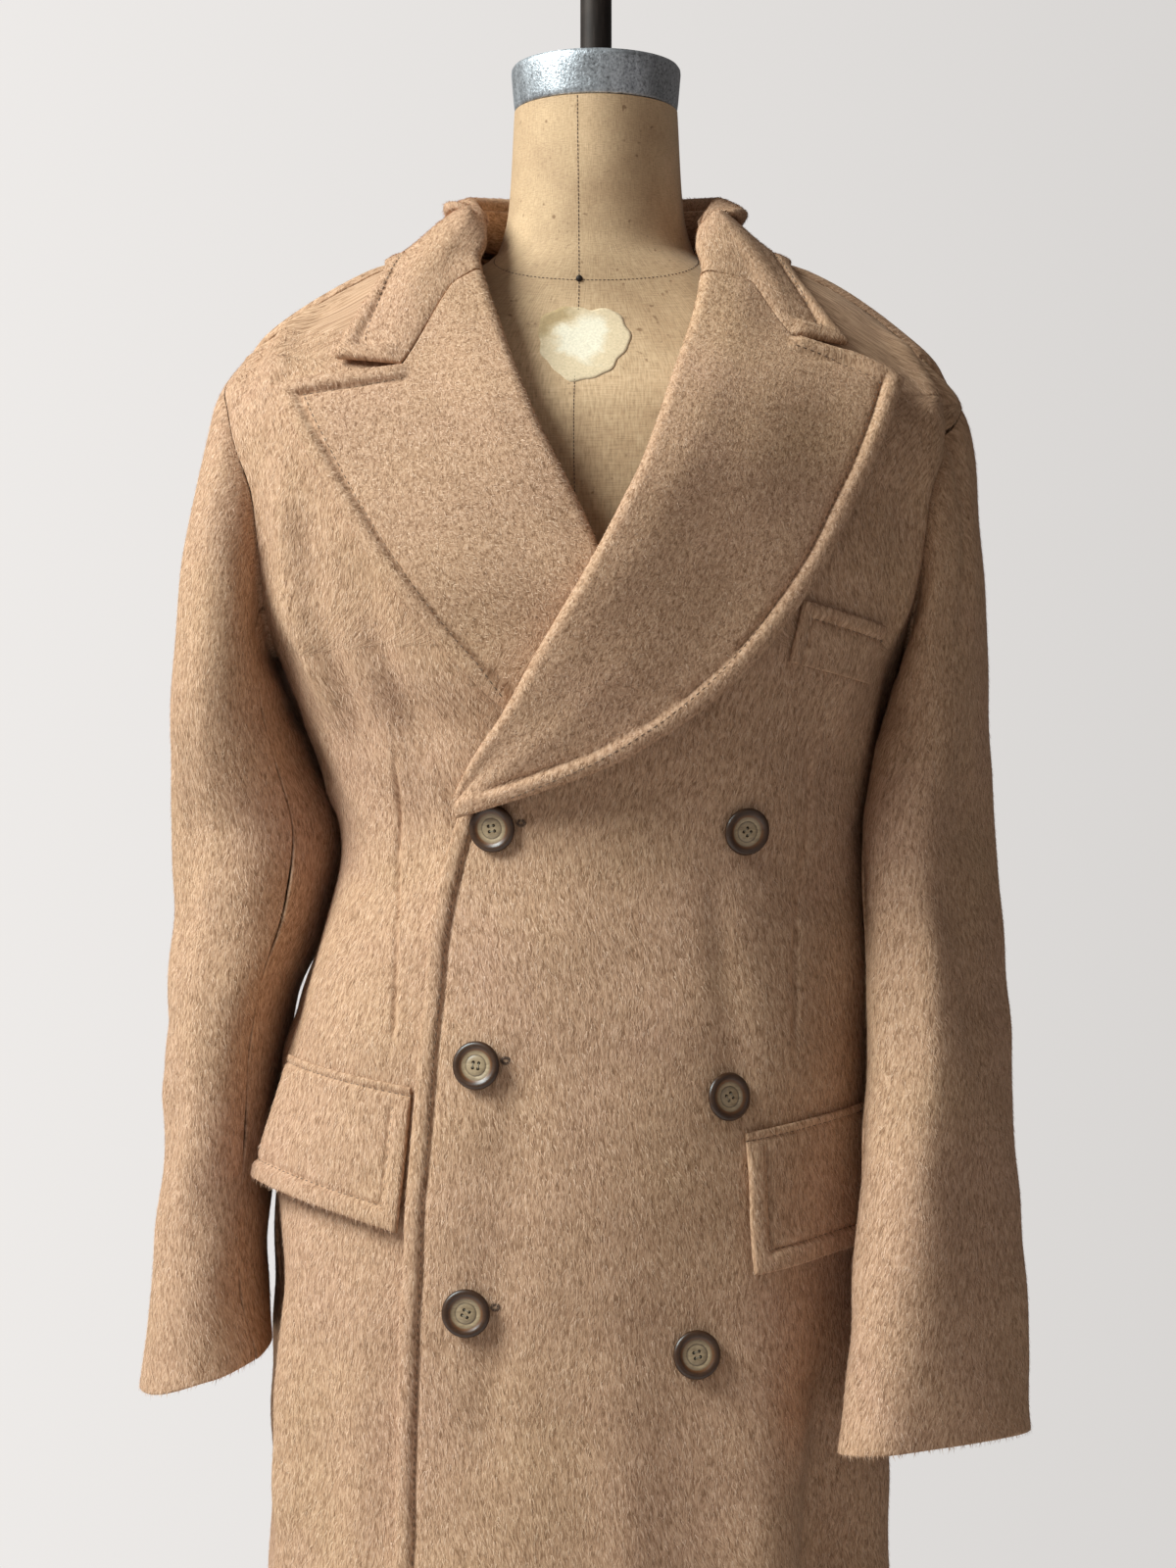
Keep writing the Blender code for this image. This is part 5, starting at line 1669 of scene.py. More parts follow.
def make_fall():
    """Collar fall with its roll over the fold and its sewn outer edge and ends."""
    s = 1 - spread(FALL_SIZE[0], EDGE_STEPS, (0,), FALL_PITCH[0])[::-1]
    s = even_out(np.clip(s, 0, 1))
    k = even_out(spread(FALL_SIZE[1], FALL_FOLD_STEPS, EDGE_STEPS, FALL_PITCH[1]))
    angle, z, lift = both_sides(fall_places, s, k)
    outward = ring_normal(angle, z)
    place = np.concatenate((s[::-1], s[1:]))[:, None]
    forward = step(place, *FOLD_ROLL_S)
    radius = mix(FOLD_RADIUS, ROLL_RADIUS, forward)
    sheet = Sheet(*with_roll(on_coat(angle, z, lift), outward, radius, mix(*FOLD_TAIL, forward), 1 - forward))
    k = np.concatenate((np.zeros(len(ROLL_PLACES)), k))[None, :]
    relief = swelled_edge(sheet.last, COLLAR_PUFF) * mix(FALL_BACK_PUFF, 1.0, step(place, *FALL_LIFT_S))
    gorges = []
    for side, end in (("left", sheet.low), ("right", sheet.top)):
        gorge = along_share(COLLAR_FRONT[side], 2)
        free = step(k, gorge, gorge + FALL_FREE) > 0.5
        relief = np.where(free & (end < sheet.last), swelled_edge(end, COLLAR_PUFF), relief)
        gorges.append(gorge)
    sewn = (np.minimum(sheet.low, sheet.top) < GORGE_REACH) & (k < min(gorges))
    ends = np.where(sewn, SEWN_SOFT, COLLAR_HALF)
    mesh = sheet.shell("cloth_collar_fall", COLLAR_HALF, relief, soft={"low": ends, "top": ends})
    column = nearest(sheet.last[len(s)], EDGE_GROOVE)
    row = nearest(sheet.low[:, -8], EDGE_GROOVE)
    sewing = [sheet.column_path(column, row, len(angle) - row)]
    lean = (0, -0.3, -1)
    dress("collar_fall", mesh, lean, share=1.2, sewing=sewing, pile=0.8)


def make_stand():
    """Upright part of the collar inside its fold."""
    s = even_out(spread(STAND_SIZE[0], SEAM_STEPS, SEAM_STEPS, STAND_PITCH)) * STAND_END_S
    share = even_out(spread(STAND_SIZE[1], STAND_STEPS, STAND_STEPS, STAND_PITCH)) * STAND_TOP

    def places(s, share, side):
        angle, z = stand_places(s, share, side)
        return mirrored(side, angle), z, np.full_like(z, STAND_LIFT)

    angle, z, lift = both_sides(places, s, share)
    sheet = Sheet(on_coat(angle, z, lift), ring_normal(angle, z))
    mesh = sheet.shell("cloth_collar_stand", STAND_HALF)
    dress("collar_stand", mesh, share=0.0)


# Sleeves.
def armhole_point(side, a):
    """Start of the sleeve at turns round the armhole, just inside its edge."""
    centre, half = armhole(side)
    c = np.cos(np.radians(a))
    s = np.sin(np.radians(a))
    inset = SLEEVE_HALF + ARMHOLE_GAP - SHOULDER_EASE * np.maximum(0.0, s)
    reach = np.where(c > 0, ARMHOLE_FRONT, ARMHOLE_BACK)
    y = -(reach - inset) * c
    z = centre + (half - inset) * s
    return on_coat(mirrored(side, side_angle(y, z)), z)


def sleeve_ring(side, drop, a):
    """Points of the hanging sleeve at a drop below its top."""
    row = {name: SLEEVES[side].at(drop, name) for name in SLEEVE_COLUMNS}
    hand = 1 if side == "right" else -1
    turn = np.radians(row["turn"])
    c = np.cos(np.radians(a))
    s = np.sin(np.radians(a))
    depth = row["half_depth"] * np.sign(c) * np.abs(c) ** SLEEVE_SQUARE
    width = row["half_width"] * np.sign(s) * np.abs(s) ** SLEEVE_SQUARE
    x = row["cx"] + hand * (np.sin(turn) * depth + np.cos(turn) * width)
    y = row["cy"] - np.cos(turn) * depth + np.sin(turn) * width
    z = SLEEVE_TOP_Z - drop + row["tilt"] * s
    return np.stack(np.broadcast_arrays(x, y, z), axis=-1)


def sleeve_point(side, v, a):
    """Points of a sleeve: v from 0 to 1 is the head, from 1 to 2 the arm."""
    length = SLEEVES[side].rows[-1][0]
    hand = 1 if side == "right" else -1
    arm = sleeve_ring(side, np.maximum(0.0, v - 1) * length, a)
    s = (np.sin(np.radians(a)) + 1) / 2
    out = mix(HEAD_TANGENT["low"][0], HEAD_TANGENT["top"][0], s)
    down = mix(HEAD_TANGENT["low"][1], HEAD_TANGENT["top"][1], s)
    start = armhole_point(side, a)
    end = sleeve_ring(side, np.zeros_like(a), a)
    ahead = -HEAD_AHEAD * np.maximum(0.0, np.cos(np.radians(a)))
    leave = np.stack(np.broadcast_arrays(hand * out, ahead, down), axis=-1)
    fall = (sleeve_ring(side, np.full_like(a, HEIGHT_STEP), a) - end) / HEIGHT_STEP
    reach = np.linalg.norm(start - end, axis=-1, keepdims=True)
    arrive = fall * np.maximum(ARRIVE_MIN, reach)
    f = np.clip(v, 0, 1)[..., None]
    h1 = f * f * (3 - 2 * f)
    head = start * (1 - h1) + end * h1 + leave * (f * (1 - f) ** 2) - arrive * (f * f * (1 - f))
    return np.where((v < 1)[..., None], head, arm)


def make_sleeve(side, part):
    """Top or under part of a sleeve between its two seams."""
    first, last = SLEEVE_SEAMS if part == "top" else (SLEEVE_SEAMS[1], SLEEVE_SEAMS[0] + 360)
    margin = math.degrees(SEAM_GAP / 2 / SLEEVE_RADIUS)
    turns = even_out(spread(SLEEVE_WIDTH[part], SEAM_STEPS, SEAM_STEPS, SLEEVE_PITCH[0]))
    arm = SLEEVES[side].rows[-1][0]
    whole = HEAD_LENGTH + arm
    down = even_out(spread(whole, SEAM_STEPS, SEAM_STEPS, SLEEVE_PITCH[1])) * whole
    v = np.where(down < HEAD_LENGTH, down / HEAD_LENGTH, 1 + (down - HEAD_LENGTH) / arm)
    a, v = np.meshgrid(mix(first + margin, last - margin, turns), v)
    down = np.broadcast_to(down[:, None], a.shape)
    middle = sleeve_point(side, v, a)
    centre = [SLEEVES[side].at(np.maximum(0.0, v - 1) * arm, name) for name in ("cx", "cy")]
    outward = unit(middle - np.stack((*centre, middle[..., 2]), axis=-1))
    soft = add_creases(np.zeros_like(a), SLEEVE_CREASES[side], a, down, SLEEVE_MM_PER_DEGREE)
    soft = add_swells(soft, a * SLEEVE_SWELL_TURN, down, SLEEVE_SWELL) * step(down, *SLEEVE_SOFT_FROM)
    sheet = Sheet(middle + Sheet(middle, outward).normals * soft[..., None], outward)
    sewn = {"first": SEWN_SOFT, "last": SEWN_SOFT, "low": SEWN_SOFT}
    node = f"sleeve_{side}_{part}"
    mesh = sheet.shell(f"cloth_{node}", SLEEVE_HALF, soft=sewn)
    dress(node, mesh, share=1.0 if part == "top" else 0.5)


# Flaps and the breast welt.
def make_patch(corners, place, lift, stand, flare, u, v):
    """Sheet of a small four-cornered piece on a panel; its lower edge and outer end stand off."""
    top_in, top_out, low_out, low_in = np.array(corners, float)
    u, v = np.meshgrid(u, v)
    spot = mix(mix(low_in, low_out, u[..., None]), mix(top_in, top_out, u[..., None]), v[..., None])
    rise = stand * (1 - v) ** 2 + flare * u * u * (1 - v)
    x = spot[..., 0]
    z = spot[..., 1]
    return Sheet(place(x, z, lift + rise), ring_normal(front_angle(x, z), z))


def make_flap(side):
    """Hip pocket flap: sewn low and front edges, a row of sewing at its top."""
    over = side == "over"
    u = even_out(spread(FLAP_SIZE[0], EDGE_STEPS, SEAM_STEPS, FLAP_PITCH))
    v = even_out(spread(FLAP_SIZE[1], EDGE_STEPS, FLAP_TOP_STEPS, FLAP_PITCH))
    if over:
        sheet = make_patch(FLAP_OVER, on_over, FLAP_LIFT, FLAP_STAND, 0.0, u, v)
    else:
        sheet = make_patch(FLAP_UNDER, on_under, FLAP_LIFT, FLAP_STAND, FLAP_FLARE, u, v)
    sewn = swelled_edge(np.minimum(sheet.low, sheet.first), FLAP_PUFF)
    sewn = sewn * np.where(sheet.first < sheet.low, step(sheet.top, *FLAP_PUFF_FROM_TOP), 1.0)
    relief = sewn + groove(sheet.top, FLAP_GROOVE, *FLAP_TOP_SEWING)
    mesh = sheet.shell(f"cloth_flap_{side}", FLAP_HALF, relief)
    row = nearest(sheet.low[:, -10], EDGE_GROOVE)
    column = nearest(sheet.first[len(v) // 2], EDGE_GROOVE)
    top = nearest(sheet.top[:, 10], FLAP_GROOVE)
    sewing = [
        sheet.row_path(row, column),
        sheet.column_path(column, row, top - 3),
        sheet.row_path(top, 2, -2),
    ]
    dress(f"flap_{side}", mesh, sewing=sewing)


def make_welt():
    """Breast welt with a sewn band along its top and its inner end."""
    u = even_out(spread(WELT_SIZE[0], WELT_STEPS, SEAM_STEPS, WELT_PITCH))
    v = even_out(spread(WELT_SIZE[1], SEAM_STEPS, WELT_STEPS, WELT_PITCH))
    sheet = make_patch(BREAST_WELT, on_over, WELT_LIFT, 0.0, 0.0, u, v)
    relief = swelled_edge(np.minimum(sheet.top, sheet.first), WELT_PUFF, WELT_GROOVE)
    mesh = sheet.shell("cloth_breast_welt", WELT_HALF, relief)
    row = nearest(sheet.top[:, -8], WELT_GROOVE)
    column = nearest(sheet.first[len(v) // 2], WELT_GROOVE)
    sewing = [sheet.row_path(row, column), sheet.column_path(column, 3, row)]
    dress("breast_welt", mesh, sewing=sewing)


# Buttons and buttonholes.
def over_frame(x, z, lift):
    """Place on the over front with its outward normal as Z, in the row frame."""
    spot, right, left, above, below = [
        on_over(np.float64(x + dx), np.float64(z + dz), up)
        for dx, dz, up in [(0, 0, lift), (2, 0, 0.0), (-2, 0, 0.0), (0, 2, 0.0), (0, -2, 0.0)]
    ]
    normal = Vector(np.cross(right - left, above - below)).normalized()
    across = Vector(right - left).normalized()
    turn = Matrix((across, normal.cross(across), normal)).transposed().to_4x4()
    turn.translation = Vector(to_row(spot))
    return turn


def ring_of(shape, radius, z, steps, centre=(0.0, 0.0)):
    ring = []
    for k in range(steps):
        a = 2 * math.pi * k / steps
        ring.append(shape.verts.new((centre[0] + radius * math.cos(a), centre[1] + radius * math.sin(a), z)))
    return ring


def bridge(shape, upper, lower):
    faces = []
    for k in range(len(upper)):
        n = (k + 1) % len(upper)
        faces.append(shape.faces.new((upper[k], lower[k], lower[n], upper[n])))
    return faces


def loop_edges(shape, ring):
    found = []
    for a, b in zip(ring, ring[1:] + ring[:1]):
        found.append(shape.edges.get((a, b)) or shape.edges.new((a, b)))
    return found


def add_thread_bars(shape):
    """Two bars of thread that cross the plate between its holes."""
    before = set(shape.faces)
    stretch = Matrix.Diagonal((*THREAD_SIZE, 1.0))
    for side in (-1, 1):
        turn = Matrix.Translation((0, side * BUTTON_HOLE_AT * 0.71, THREAD_Z))
        bmesh.ops.create_uvsphere(shape, u_segments=8, v_segments=5, radius=0.5, matrix=turn @ stretch)
    for face in set(shape.faces) - before:
        face.material_index = 1


def button_mesh(name, place):
    """Sewn-through button: rolled rim, dished middle, four holes and its thread."""
    shape = bmesh.new()
    rings = [ring_of(shape, r, z, BUTTON_STEPS) for r, z in BUTTON_PROFILE]
    for upper, lower in zip(rings, rings[1:]):
        bridge(shape, upper, lower)
    shape.faces.new(rings[-1])
    rims = loop_edges(shape, rings[0])
    reach = BUTTON_HOLE_AT / math.sqrt(2)
    plate_z = BUTTON_PROFILE[0][1]
    for sx in (-1, 1):
        for sy in (-1, 1):
            centre = (sx * reach, sy * reach)
            top = ring_of(shape, BUTTON_HOLE_R, plate_z, BUTTON_HOLE_STEPS, centre)
            floor = ring_of(shape, BUTTON_HOLE_R * 0.9, BUTTON_HOLE_FLOOR, BUTTON_HOLE_STEPS, centre)
            bridge(shape, top, floor)
            shape.faces.new(floor)
            rims += loop_edges(shape, top)
    bmesh.ops.triangle_fill(shape, use_beauty=True, use_dissolve=False, edges=rims)
    bmesh.ops.recalc_face_normals(shape, faces=shape.faces)
    add_thread_bars(shape)
    layer = shape.loops.layers.uv.new(UV_NAME)
    for face in shape.faces:
        for loop in face.loops:
            x, y, z = loop.vert.co
            radius = math.hypot(x, y) / BUTTON_R
            # Painted shade: the walls and floors of the holes take the dark rim colour at 0.95.
            deep = z < plate_z - 0.5 and radius < BUTTON_PLATE_R / BUTTON_R
            loop[layer].uv = (math.atan2(y, x), 0.95 if deep else radius)
    return mesh_of_shape(name, shape, BUTTON_SHARP, place)


def make_buttons():
    """Six buttons, each turned a little further than the one before."""
    look = bpy.context.scene.overcoat
    horn = polished_horn()
    thread = sewing_thread("button_thread", look.button_thread)
    start, more = BUTTON_TURNS
    for index, (x, z) in enumerate(BUTTONS):
        node = f"button_{index + 1}"
        place = over_frame(x, z, BUTTON_LIFT) @ Matrix.Rotation(math.radians(start + more * index), 4, "Z")
        keep_on_frame(add_piece(f"horn_{node}", button_mesh(node, place), [horn, thread]), node)


def make_buttonholes():
    """Sewn eyelet ends that show beyond the buttons next to the free edge."""
    look = bpy.context.scene.overcoat
    thread = sewing_thread("buttonhole_thread", look.buttonhole_thread)
    turns = np.linspace(0, 2 * math.pi, 25)
    paths = []
    for x, z in BUTTONS[::2]:
        across = x + (BUTTON_R + EYE_GAP + EYE_HALF[0] * np.cos(turns))
        spots = on_over(across, z + EYE_UP + EYE_HALF[1] * np.sin(turns), PANEL_HALF + EYE_LIFT)
        normals = np.repeat(ring_normal(front_angle(x, z), np.float64(z))[None, :], len(turns), axis=0)
        paths.append((to_row(spots), normals))
    piece = make_stitches("stitches_buttonholes", paths, thread, math.pi / 2, EYE_STITCH)
    keep_on_frame(piece)


# Dress form and stand.


def form_front(x, z, lift=0.0):
    """Points on the front of the form at places seen from the front, and normals there."""
    turn = oval_turn(FORM_RINGS, x, z)
    across = oval_point(FORM_RINGS, turn + 0.02, z) - oval_point(FORM_RINGS, turn - 0.02, z)
    up = oval_point(FORM_RINGS, turn, z + 2) - oval_point(FORM_RINGS, turn, z - 2)
    normal = unit(np.cross(up, across))
    return oval_point(FORM_RINGS, turn, z) + normal * np.asarray(lift)[..., None], normal


def torso_mesh():
    """Whole torso and neck of the form, closed above and below."""
    keys = FORM_RINGS.column("z")
    heights = [keys[0]]
    for low, high in zip(keys, keys[1:]):
        count = max(1, math.ceil((high - low) / FORM_ROW))
        heights += [low + (high - low) * (k + 1) / count for k in range(count)]
    z = np.array(heights)[:, None]
    turn = 2 * np.pi * np.arange(FORM_STEPS)[None, :] / FORM_STEPS
    index = np.arange(len(z) * FORM_STEPS).reshape(len(z), FORM_STEPS)
    after = np.roll(index, -1, axis=1)
    quads = np.stack((index[:-1], index[1:], after[1:], after[:-1]), axis=-1).reshape(-1, 4)
    faces = [tuple(q) for q in quads.tolist()]
    faces += [tuple(index[0].tolist()), tuple(index[-1][::-1].tolist())]
    uv = np.stack(np.broadcast_arrays(turn * 0.12, z * MM), axis=-1).reshape(-1, 2)
    points = oval_point(FORM_RINGS, turn, z).reshape(-1, 3)
    mesh = mesh_of("linen_torso", points * MM, faces, uv)
    mesh.set_sharp_from_angle(angle=math.radians(60))
    return mesh


def seam_paths():
    """Front seam of the form and the seam round the foot of its neck."""
    z = np.linspace(1528, 840, 240)
    front, front_normals = form_front(FRONT_SEAM.at(z, "x"), z, 0.1)
    turn = np.linspace(0, 2 * np.pi, 200)
    side_z, front_z = NECK_SEAM_Z
    neck_z = side_z - (side_z - front_z) * np.maximum(0.0, np.sin(turn)) ** 1.6
    neck = oval_point(FORM_RINGS, turn, neck_z)
    neck_normals = unit(neck * np.array((1.0, 1.0, 0.0)) + np.array((0, 0, 30.0)))
    return [(front * MM, front_normals), (neck * MM, neck_normals)]


def patch_mesh():
    """Torn paper on the chest: an uneven disc that follows the form."""
    turn = 2 * np.pi * np.arange(PATCH_STEPS) / PATCH_STEPS
    tear = 1 + 0.05 * np.sin(3 * turn + 0.6) + 0.03 * np.sin(7 * turn + 2) + 0.02 * np.sin(13 * turn)
    tear -= 0.16 * np.exp(-((turn - np.pi / 2) / 0.45) ** 2)
    share = np.linspace(1 / PATCH_RINGS, 1, PATCH_RINGS)[:, None]
    x = PATCH_CENTRE[0] + PATCH_HALF[0] * share * tear * np.cos(turn)
    z = PATCH_CENTRE[1] + PATCH_HALF[1] * share * tear * np.sin(turn) * (1 + 0.12 * (np.sin(turn) < 0))
    top, _ = form_front(x, z, PATCH_OVER - 0.25 * share ** 6)
    low, _ = form_front(x, z, np.full_like(x, PATCH_UNDER))
    centres = np.repeat([PATCH_CENTRE], 2, axis=0)
    middles, _ = form_front(centres[:, 0], centres[:, 1], np.array((PATCH_OVER, PATCH_UNDER)))
    points = np.concatenate((top.reshape(-1, 3), low.reshape(-1, 3), middles))
    middle = 2 * PATCH_RINGS * PATCH_STEPS
    upper, under = np.arange(middle).reshape(2, PATCH_RINGS, PATCH_STEPS).tolist()
    faces = []
    for k in range(PATCH_STEPS):
        n = (k + 1) % PATCH_STEPS
        faces.append((middle, upper[0][k], upper[0][n]))
        faces.append((middle + 1, under[0][n], under[0][k]))
        for i in range(PATCH_RINGS - 1):
            faces.append((upper[i][k], upper[i + 1][k], upper[i + 1][n], upper[i][n]))
            faces.append((under[i][n], under[i + 1][n], under[i + 1][k], under[i][k]))
        faces.append((upper[-1][k], under[-1][k], under[-1][n], upper[-1][n]))
    return mesh_of("paper_patch", points * MM, faces, points[:, [0, 2]] * MM)


def lathe_mesh(name, profile, steps=LATHE_STEPS, place=None):
    """Turned mesh from a profile of radius and height, top to bottom."""
    shape = bmesh.new()
    rings = [ring_of(shape, r, z, steps) for r, z in profile[1:-1]]
    for upper, lower in zip(rings, rings[1:]):
        bridge(shape, upper, lower)
    shape.faces.new(rings[0])
    shape.faces.new(rings[-1])
    bmesh.ops.recalc_face_normals(shape, faces=shape.faces)
    return mesh_of_shape(name, shape, LATHE_SHARP, place)


def rod_profile(radius, low, high):
    ends = [(0, high), (radius - 1.2, high), (radius - 0.35, high - 0.35), (radius, high - 1.2)]
    return ends + [(radius, z) for z in np.linspace(high - 2, low + 1, 24)] + [(radius, low), (0, low)]


def keep_on_frame(piece, node=None):
    if node:
        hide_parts(node)
    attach(piece, BODY)


def make_dress_form():
    """The linen form with its seams, its paper patch and the pin in its neck."""
    thread = sewing_thread("form_seam_thread", bpy.context.scene.overcoat.seam_thread)
    spot, normal = form_front(np.float64(PIN_AT[0]), np.float64(PIN_AT[1]))
    turn = Vector(normal).to_track_quat("Z", "Y").to_matrix().to_4x4()
    turn.translation = Vector(spot * MM)
    pin = lathe_mesh("form_pin", PIN_PROFILE, 20, turn)
    keep_on_frame(add_piece("linen_torso", torso_mesh(), [form_linen()]), "form_torso")
    keep_on_frame(make_stitches("stitches_form_seams", seam_paths(), thread, 0.0, FORM_STITCH))
    keep_on_frame(add_piece("paper_patch", patch_mesh(), [worn_paper()]))
    keep_on_frame(add_piece("form_pin", pin, [rubbed_steel()]))


def make_stand_pieces():
    """Neck cap, the two poles and the base."""
    cap = add_piece("cast_neck_cap", lathe_mesh("neck_cap", CAP_PROFILE), [pitted_casting()])
    keep_on_frame(cap, "neck_cap")
    rods = {
        "top_pole": rod_profile(TOP_POLE_R, *TOP_POLE_Z),
        "stand_pole": rod_profile(STAND_POLE_R, *STAND_POLE_Z),
        "stand_base": BASE_PROFILE,
    }
    for node, profile in rods.items():
        piece = add_piece(f"steel_{node}", lathe_mesh(node, profile), [rubbed_steel()])
        keep_on_frame(piece, node)


# Stage.
def pale_floor():
    finish, tree, shader = new_finish("pale_floor", Roughness=0.8)
    shades = colour_ramp(tree, patches_on(tree, 1.4, 1.0), FLOOR_SHADES)
    tree.links.new(shades, shader.inputs["Base Color"])
    return finish


def add_lamp(name, place, power, size, colour):
    lamp = bpy.data.lights.new(name, "AREA")
    lamp.energy = power
    lamp.shape = "DISK"
    lamp.size = size
    lamp.color = colour
    made = bpy.data.objects.new(name, lamp)
    made.location = place
    made.rotation_euler = (Vector(AIM) - Vector(place)).to_track_quat("-Z", "Y").to_euler()
    bpy.context.scene.collection.objects.link(made)


def make_room(stage):
    """World whose light fades to the right, brighter where the camera sees it."""
    world = bpy.data.worlds.new("pale_room")
    world.use_nodes = True
    tree = world.node_tree
    ground = tree.nodes["Background"]
    ground.inputs["Color"].default_value = (*stage.room_colour, 1)
    toward = tree.nodes.new("ShaderNodeTexCoord").outputs["Generated"]
    side = add_node(tree, "ShaderNodeSeparateXYZ", {"Vector": toward}).outputs["X"]
    seen = tree.nodes.new("ShaderNodeLightPath").outputs["Is Camera Ray"]
    levels = []
    for level, fade in ((stage.room_strength, stage.room_fade), (stage.wall_strength, stage.wall_fade)):
        levels.append(maths(tree, "ADD", maths(tree, "MULTIPLY", side, -level * fade), level))
    room, wall = levels
    extra = maths(tree, "MULTIPLY", seen, maths(tree, "SUBTRACT", wall, room))
    tree.links.new(maths(tree, "ADD", room, extra), ground.inputs["Strength"])
    return world


def make_stage():
    """Round floor, room, two lamps and the camera."""
    scene = bpy.context.scene
    stage = scene.overcoat_stage
    shape = bmesh.new()
    bmesh.ops.create_circle(shape, cap_ends=True, segments=96, radius=stage.floor_radius)
    mesh = bpy.data.meshes.new("floor")
    shape.to_mesh(mesh)
    shape.free()
    add_piece("floor", mesh, [pale_floor()])
    scene.world = make_room(stage)
    add_lamp("key", KEY_AT, stage.key_power, KEY_SIZE, KEY_COLOUR)
    add_lamp("fill", FILL_AT, stage.fill_power, FILL_SIZE, FILL_COLOUR)
    camera = bpy.data.objects.new("camera", bpy.data.cameras.new("camera"))
    camera.data.sensor_fit = "VERTICAL"
    camera.data.sensor_height = stage.sensor_height
    camera.data.lens = stage.lens
    camera.location = (COAT_X * MM, -stage.camera_distance, stage.camera_height)
    camera.rotation_euler = (math.pi / 2, 0, 0)
    scene.collection.objects.link(camera)
    scene.camera = camera
    scene.view_settings.view_transform = "Standard"


# Settings.
def colour_setting(name, words, value):
    kind = {"subtype": "COLOR", "size": 3, "min": 0, "max": 1}
    return FloatVectorProperty(name=name, description=words, default=value, **kind)


def length_setting(name, words, value):
    return FloatProperty(name=name, description=words, unit="LENGTH", min=0, precision=5, default=value)


def number_setting(name, words, value, **kind):
    return FloatProperty(name=name, description=words, default=value, **kind)


class OvercoatSettings(bpy.types.PropertyGroup):
    """Sizes and colours of the coat and its form."""

    # Camel dark is painted shade between the fibres of the cloth's ground, and the darkest random fibres of
    # the nap.
    camel_dark: colour_setting("Camel dark", "Cloth between the fibres", (0.265, 0.150, 0.084))
    camel_mid: colour_setting("Camel", "Main colour of the cloth", (0.48, 0.295, 0.18))
    camel_pale: colour_setting("Camel pale", "Cloth on the clumps of its nap", (0.63, 0.42, 0.275))
    camel_tip: colour_setting("Camel tip", "Palest fibres of the nap", (0.76, 0.55, 0.39))
    thread: colour_setting("Thread", "Sewing thread of the edges", (0.20, 0.115, 0.06))
    button_thread: colour_setting("Button thread", "Thread through the buttons", (0.34, 0.27, 0.18))
    buttonhole_thread: colour_setting(
        "Buttonhole thread", "Thread round the buttonholes", (0.13, 0.07, 0.038)
    )
    seam_thread: colour_setting("Form seam thread", "Thread of the form's seams", (0.09, 0.05, 0.025))
    horn_rim: colour_setting("Horn rim", "Rim of the buttons", (0.064, 0.024, 0.007))
    horn_middle: colour_setting("Horn middle", "Dished middle of the buttons", (0.40, 0.285, 0.17))
    # Linen dark is painted shade in the gaps of the weave.
    linen_dark: colour_setting("Linen dark", "Gaps of the linen", (0.36, 0.215, 0.11))
    linen_mid: colour_setting("Linen", "Main colour of the linen", (0.56, 0.355, 0.195))
    linen_pale: colour_setting("Linen pale", "Slubs of the linen", (0.68, 0.465, 0.275))
    steel_dark: colour_setting("Dark steel", "Colour of the poles and the base", (0.034, 0.025, 0.021))
    nap_length: length_setting("Nap length", "Length of a fibre", 0.0038)
    nap_width: length_setting("Nap width", "Width of a fibre at its root", 0.00042)
    nap_density: number_setting("Nap density", "Fibres on a square metre", 390000.0, min=0)
    nap_rise: number_setting("Nap rise", "How far fibres stand up", 0.22, subtype="ANGLE")
    nap_scatter: number_setting("Nap scatter", "How far fibres stray", 0.45, subtype="ANGLE")
    nap_clear: number_setting("Nap clear", "Light that a fibre lets through", 0.35)
    stitch_length: length_setting("Stitch length", "Length of a stitch", 0.0030)
    stitch_pitch: length_setting("Stitch pitch", "From one stitch to the next", 0.0044)
    stitch_width: length_setting("Stitch width", "Thickness of the thread", 0.0008)
    seed: IntProperty(name="Seed", description="Seed of the nap", default=5)


class OvercoatStageSettings(bpy.types.PropertyGroup):
    """Camera, floor and light."""

    camera_distance: length_setting("Camera distance", "From the form's axis to the camera", 1.718)
    camera_height: length_setting("Camera height", "Height of the camera", 1.110)
    lens: number_setting("Lens", "Focal length in millimetres", 63.0, unit="CAMERA")
    sensor_height: number_setting("Sensor", "Sensor height in millimetres", 36.0, unit="CAMERA")
    floor_radius: length_setting("Floor", "Radius of the floor", 2.1)
    key_power: number_setting("Key light", "Power of the key light", 230.0, unit="POWER")
    fill_power: number_setting("Fill light", "Power of the fill light", 4.0, unit="POWER")
    room_strength: number_setting("Room light", "Strength of the room's light", 0.23)
    room_fade: number_setting("Room fade", "How much less light comes from the right", 0.6)
    wall_strength: number_setting("Wall", "Brightness of the room behind the coat", 0.77)
    wall_fade: number_setting("Wall fade", "How much darker the room is on the right", 0.5)
    room_colour: colour_setting("Room", "Colour of the room", (1.0, 0.972, 0.95))


# Operators and panel.
class OVERCOAT_OT_body(bpy.types.Operator):
    """Make the back and the two fronts"""

    bl_idname = "overcoat.body"
    bl_label = "Back and Fronts"

    def execute(self, context):
        make_back()
        make_front("over")
        make_front("under")
        return {"FINISHED"}


class OVERCOAT_OT_lapels(bpy.types.Operator):
    """Make the two lapels"""

    bl_idname = "overcoat.lapels"
    bl_label = "Lapels"

    def execute(self, context):
        make_lapel("over")
        make_lapel("under")
        return {"FINISHED"}


class OVERCOAT_OT_collar(bpy.types.Operator):
    """Make the collar fall and the collar stand"""

    bl_idname = "overcoat.collar"
    bl_label = "Collar"

    def execute(self, context):
        make_fall()
        make_stand()
        return {"FINISHED"}


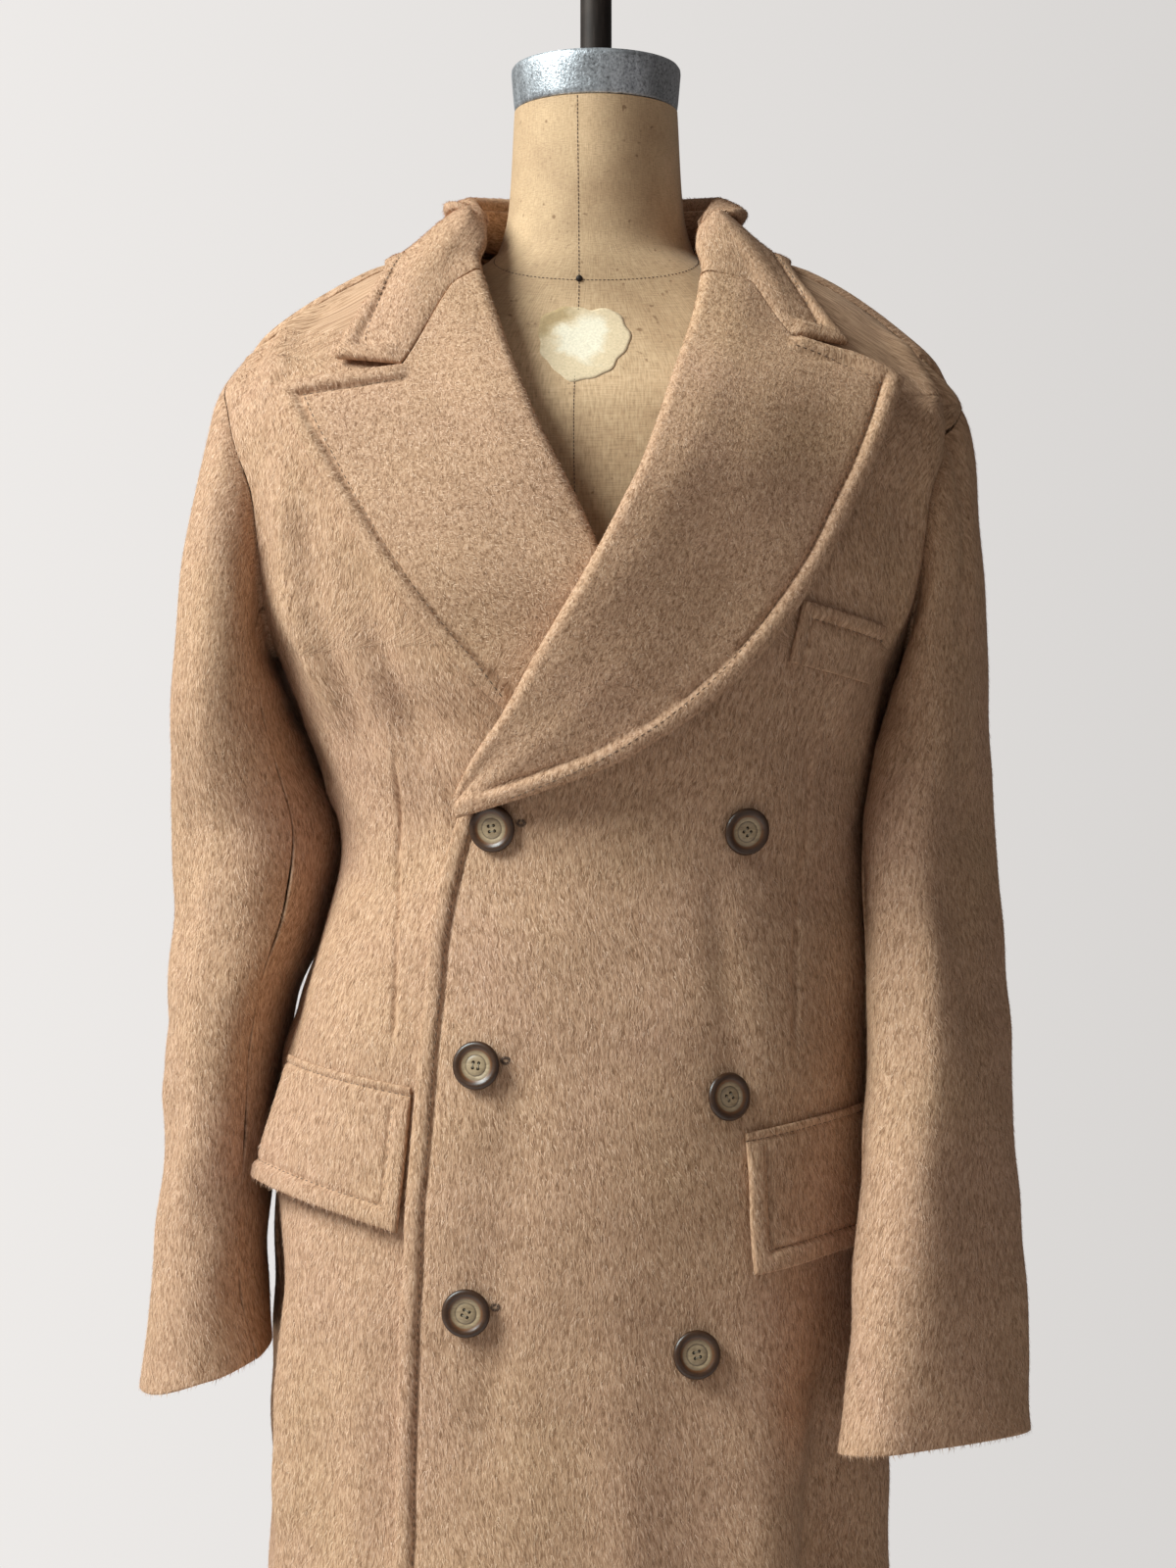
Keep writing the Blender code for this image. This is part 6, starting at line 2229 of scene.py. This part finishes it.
class OVERCOAT_OT_sleeves(bpy.types.Operator):
    """Make the top and under parts of both sleeves"""

    bl_idname = "overcoat.sleeves"
    bl_label = "Sleeves"

    def execute(self, context):
        for side in ("left", "right"):
            for part in ("top", "under"):
                make_sleeve(side, part)
        return {"FINISHED"}


class OVERCOAT_OT_pockets(bpy.types.Operator):
    """Make the two hip flaps and the breast welt"""

    bl_idname = "overcoat.pockets"
    bl_label = "Pockets"

    def execute(self, context):
        make_flap("over")
        make_flap("under")
        make_welt()
        return {"FINISHED"}


class OVERCOAT_OT_buttons(bpy.types.Operator):
    """Make the buttons and the ends of the buttonholes"""

    bl_idname = "overcoat.buttons"
    bl_label = "Buttons"

    def execute(self, context):
        make_buttons()
        make_buttonholes()
        return {"FINISHED"}


class OVERCOAT_OT_dress_form(bpy.types.Operator):
    """Make the linen form with its seams, pin and paper patch"""

    bl_idname = "overcoat.dress_form"
    bl_label = "Dress Form"

    def execute(self, context):
        make_dress_form()
        return {"FINISHED"}


class OVERCOAT_OT_stand(bpy.types.Operator):
    """Make the neck cap, the poles and the base"""

    bl_idname = "overcoat.stand"
    bl_label = "Cap and Stand"

    def execute(self, context):
        make_stand_pieces()
        return {"FINISHED"}


class OVERCOAT_OT_stage(bpy.types.Operator):
    """Set the floor, the light and the camera"""

    bl_idname = "overcoat.stage"
    bl_label = "Stage"

    def execute(self, context):
        make_stage()
        return {"FINISHED"}


OPERATORS = (
    OVERCOAT_OT_body,
    OVERCOAT_OT_lapels,
    OVERCOAT_OT_collar,
    OVERCOAT_OT_sleeves,
    OVERCOAT_OT_pockets,
    OVERCOAT_OT_buttons,
    OVERCOAT_OT_dress_form,
    OVERCOAT_OT_stand,
    OVERCOAT_OT_stage,
)


class OVERCOAT_PT_sidebar(bpy.types.Panel):
    """Lists the steps of the overcoat"""

    bl_label = "Overcoat"
    bl_idname = "OVERCOAT_PT_sidebar"
    bl_space_type = "VIEW_3D"
    bl_region_type = "UI"
    bl_category = "Overcoat"

    def draw(self, context):
        for operator in OPERATORS:
            self.layout.operator(operator.bl_idname)
        for settings in (context.scene.overcoat, context.scene.overcoat_stage):
            for name in settings.__annotations__:
                self.layout.prop(settings, name)


CLASSES = (OvercoatSettings, OvercoatStageSettings, *OPERATORS, OVERCOAT_PT_sidebar)


def register():
    for cls in CLASSES:
        bpy.utils.register_class(cls)
    bpy.types.Scene.overcoat = PointerProperty(type=OvercoatSettings)
    bpy.types.Scene.overcoat_stage = PointerProperty(type=OvercoatStageSettings)


def unregister():
    del bpy.types.Scene.overcoat_stage
    del bpy.types.Scene.overcoat
    for cls in reversed(CLASSES):
        bpy.utils.unregister_class(cls)


def main():
    register()
    bpy.ops.overcoat.stage()
    bpy.ops.overcoat.dress_form()
    bpy.ops.overcoat.stand()
    bpy.ops.overcoat.body()
    bpy.ops.overcoat.lapels()
    bpy.ops.overcoat.collar()
    bpy.ops.overcoat.sleeves()
    bpy.ops.overcoat.pockets()
    bpy.ops.overcoat.buttons()


if __name__ == "__main__":
    main()
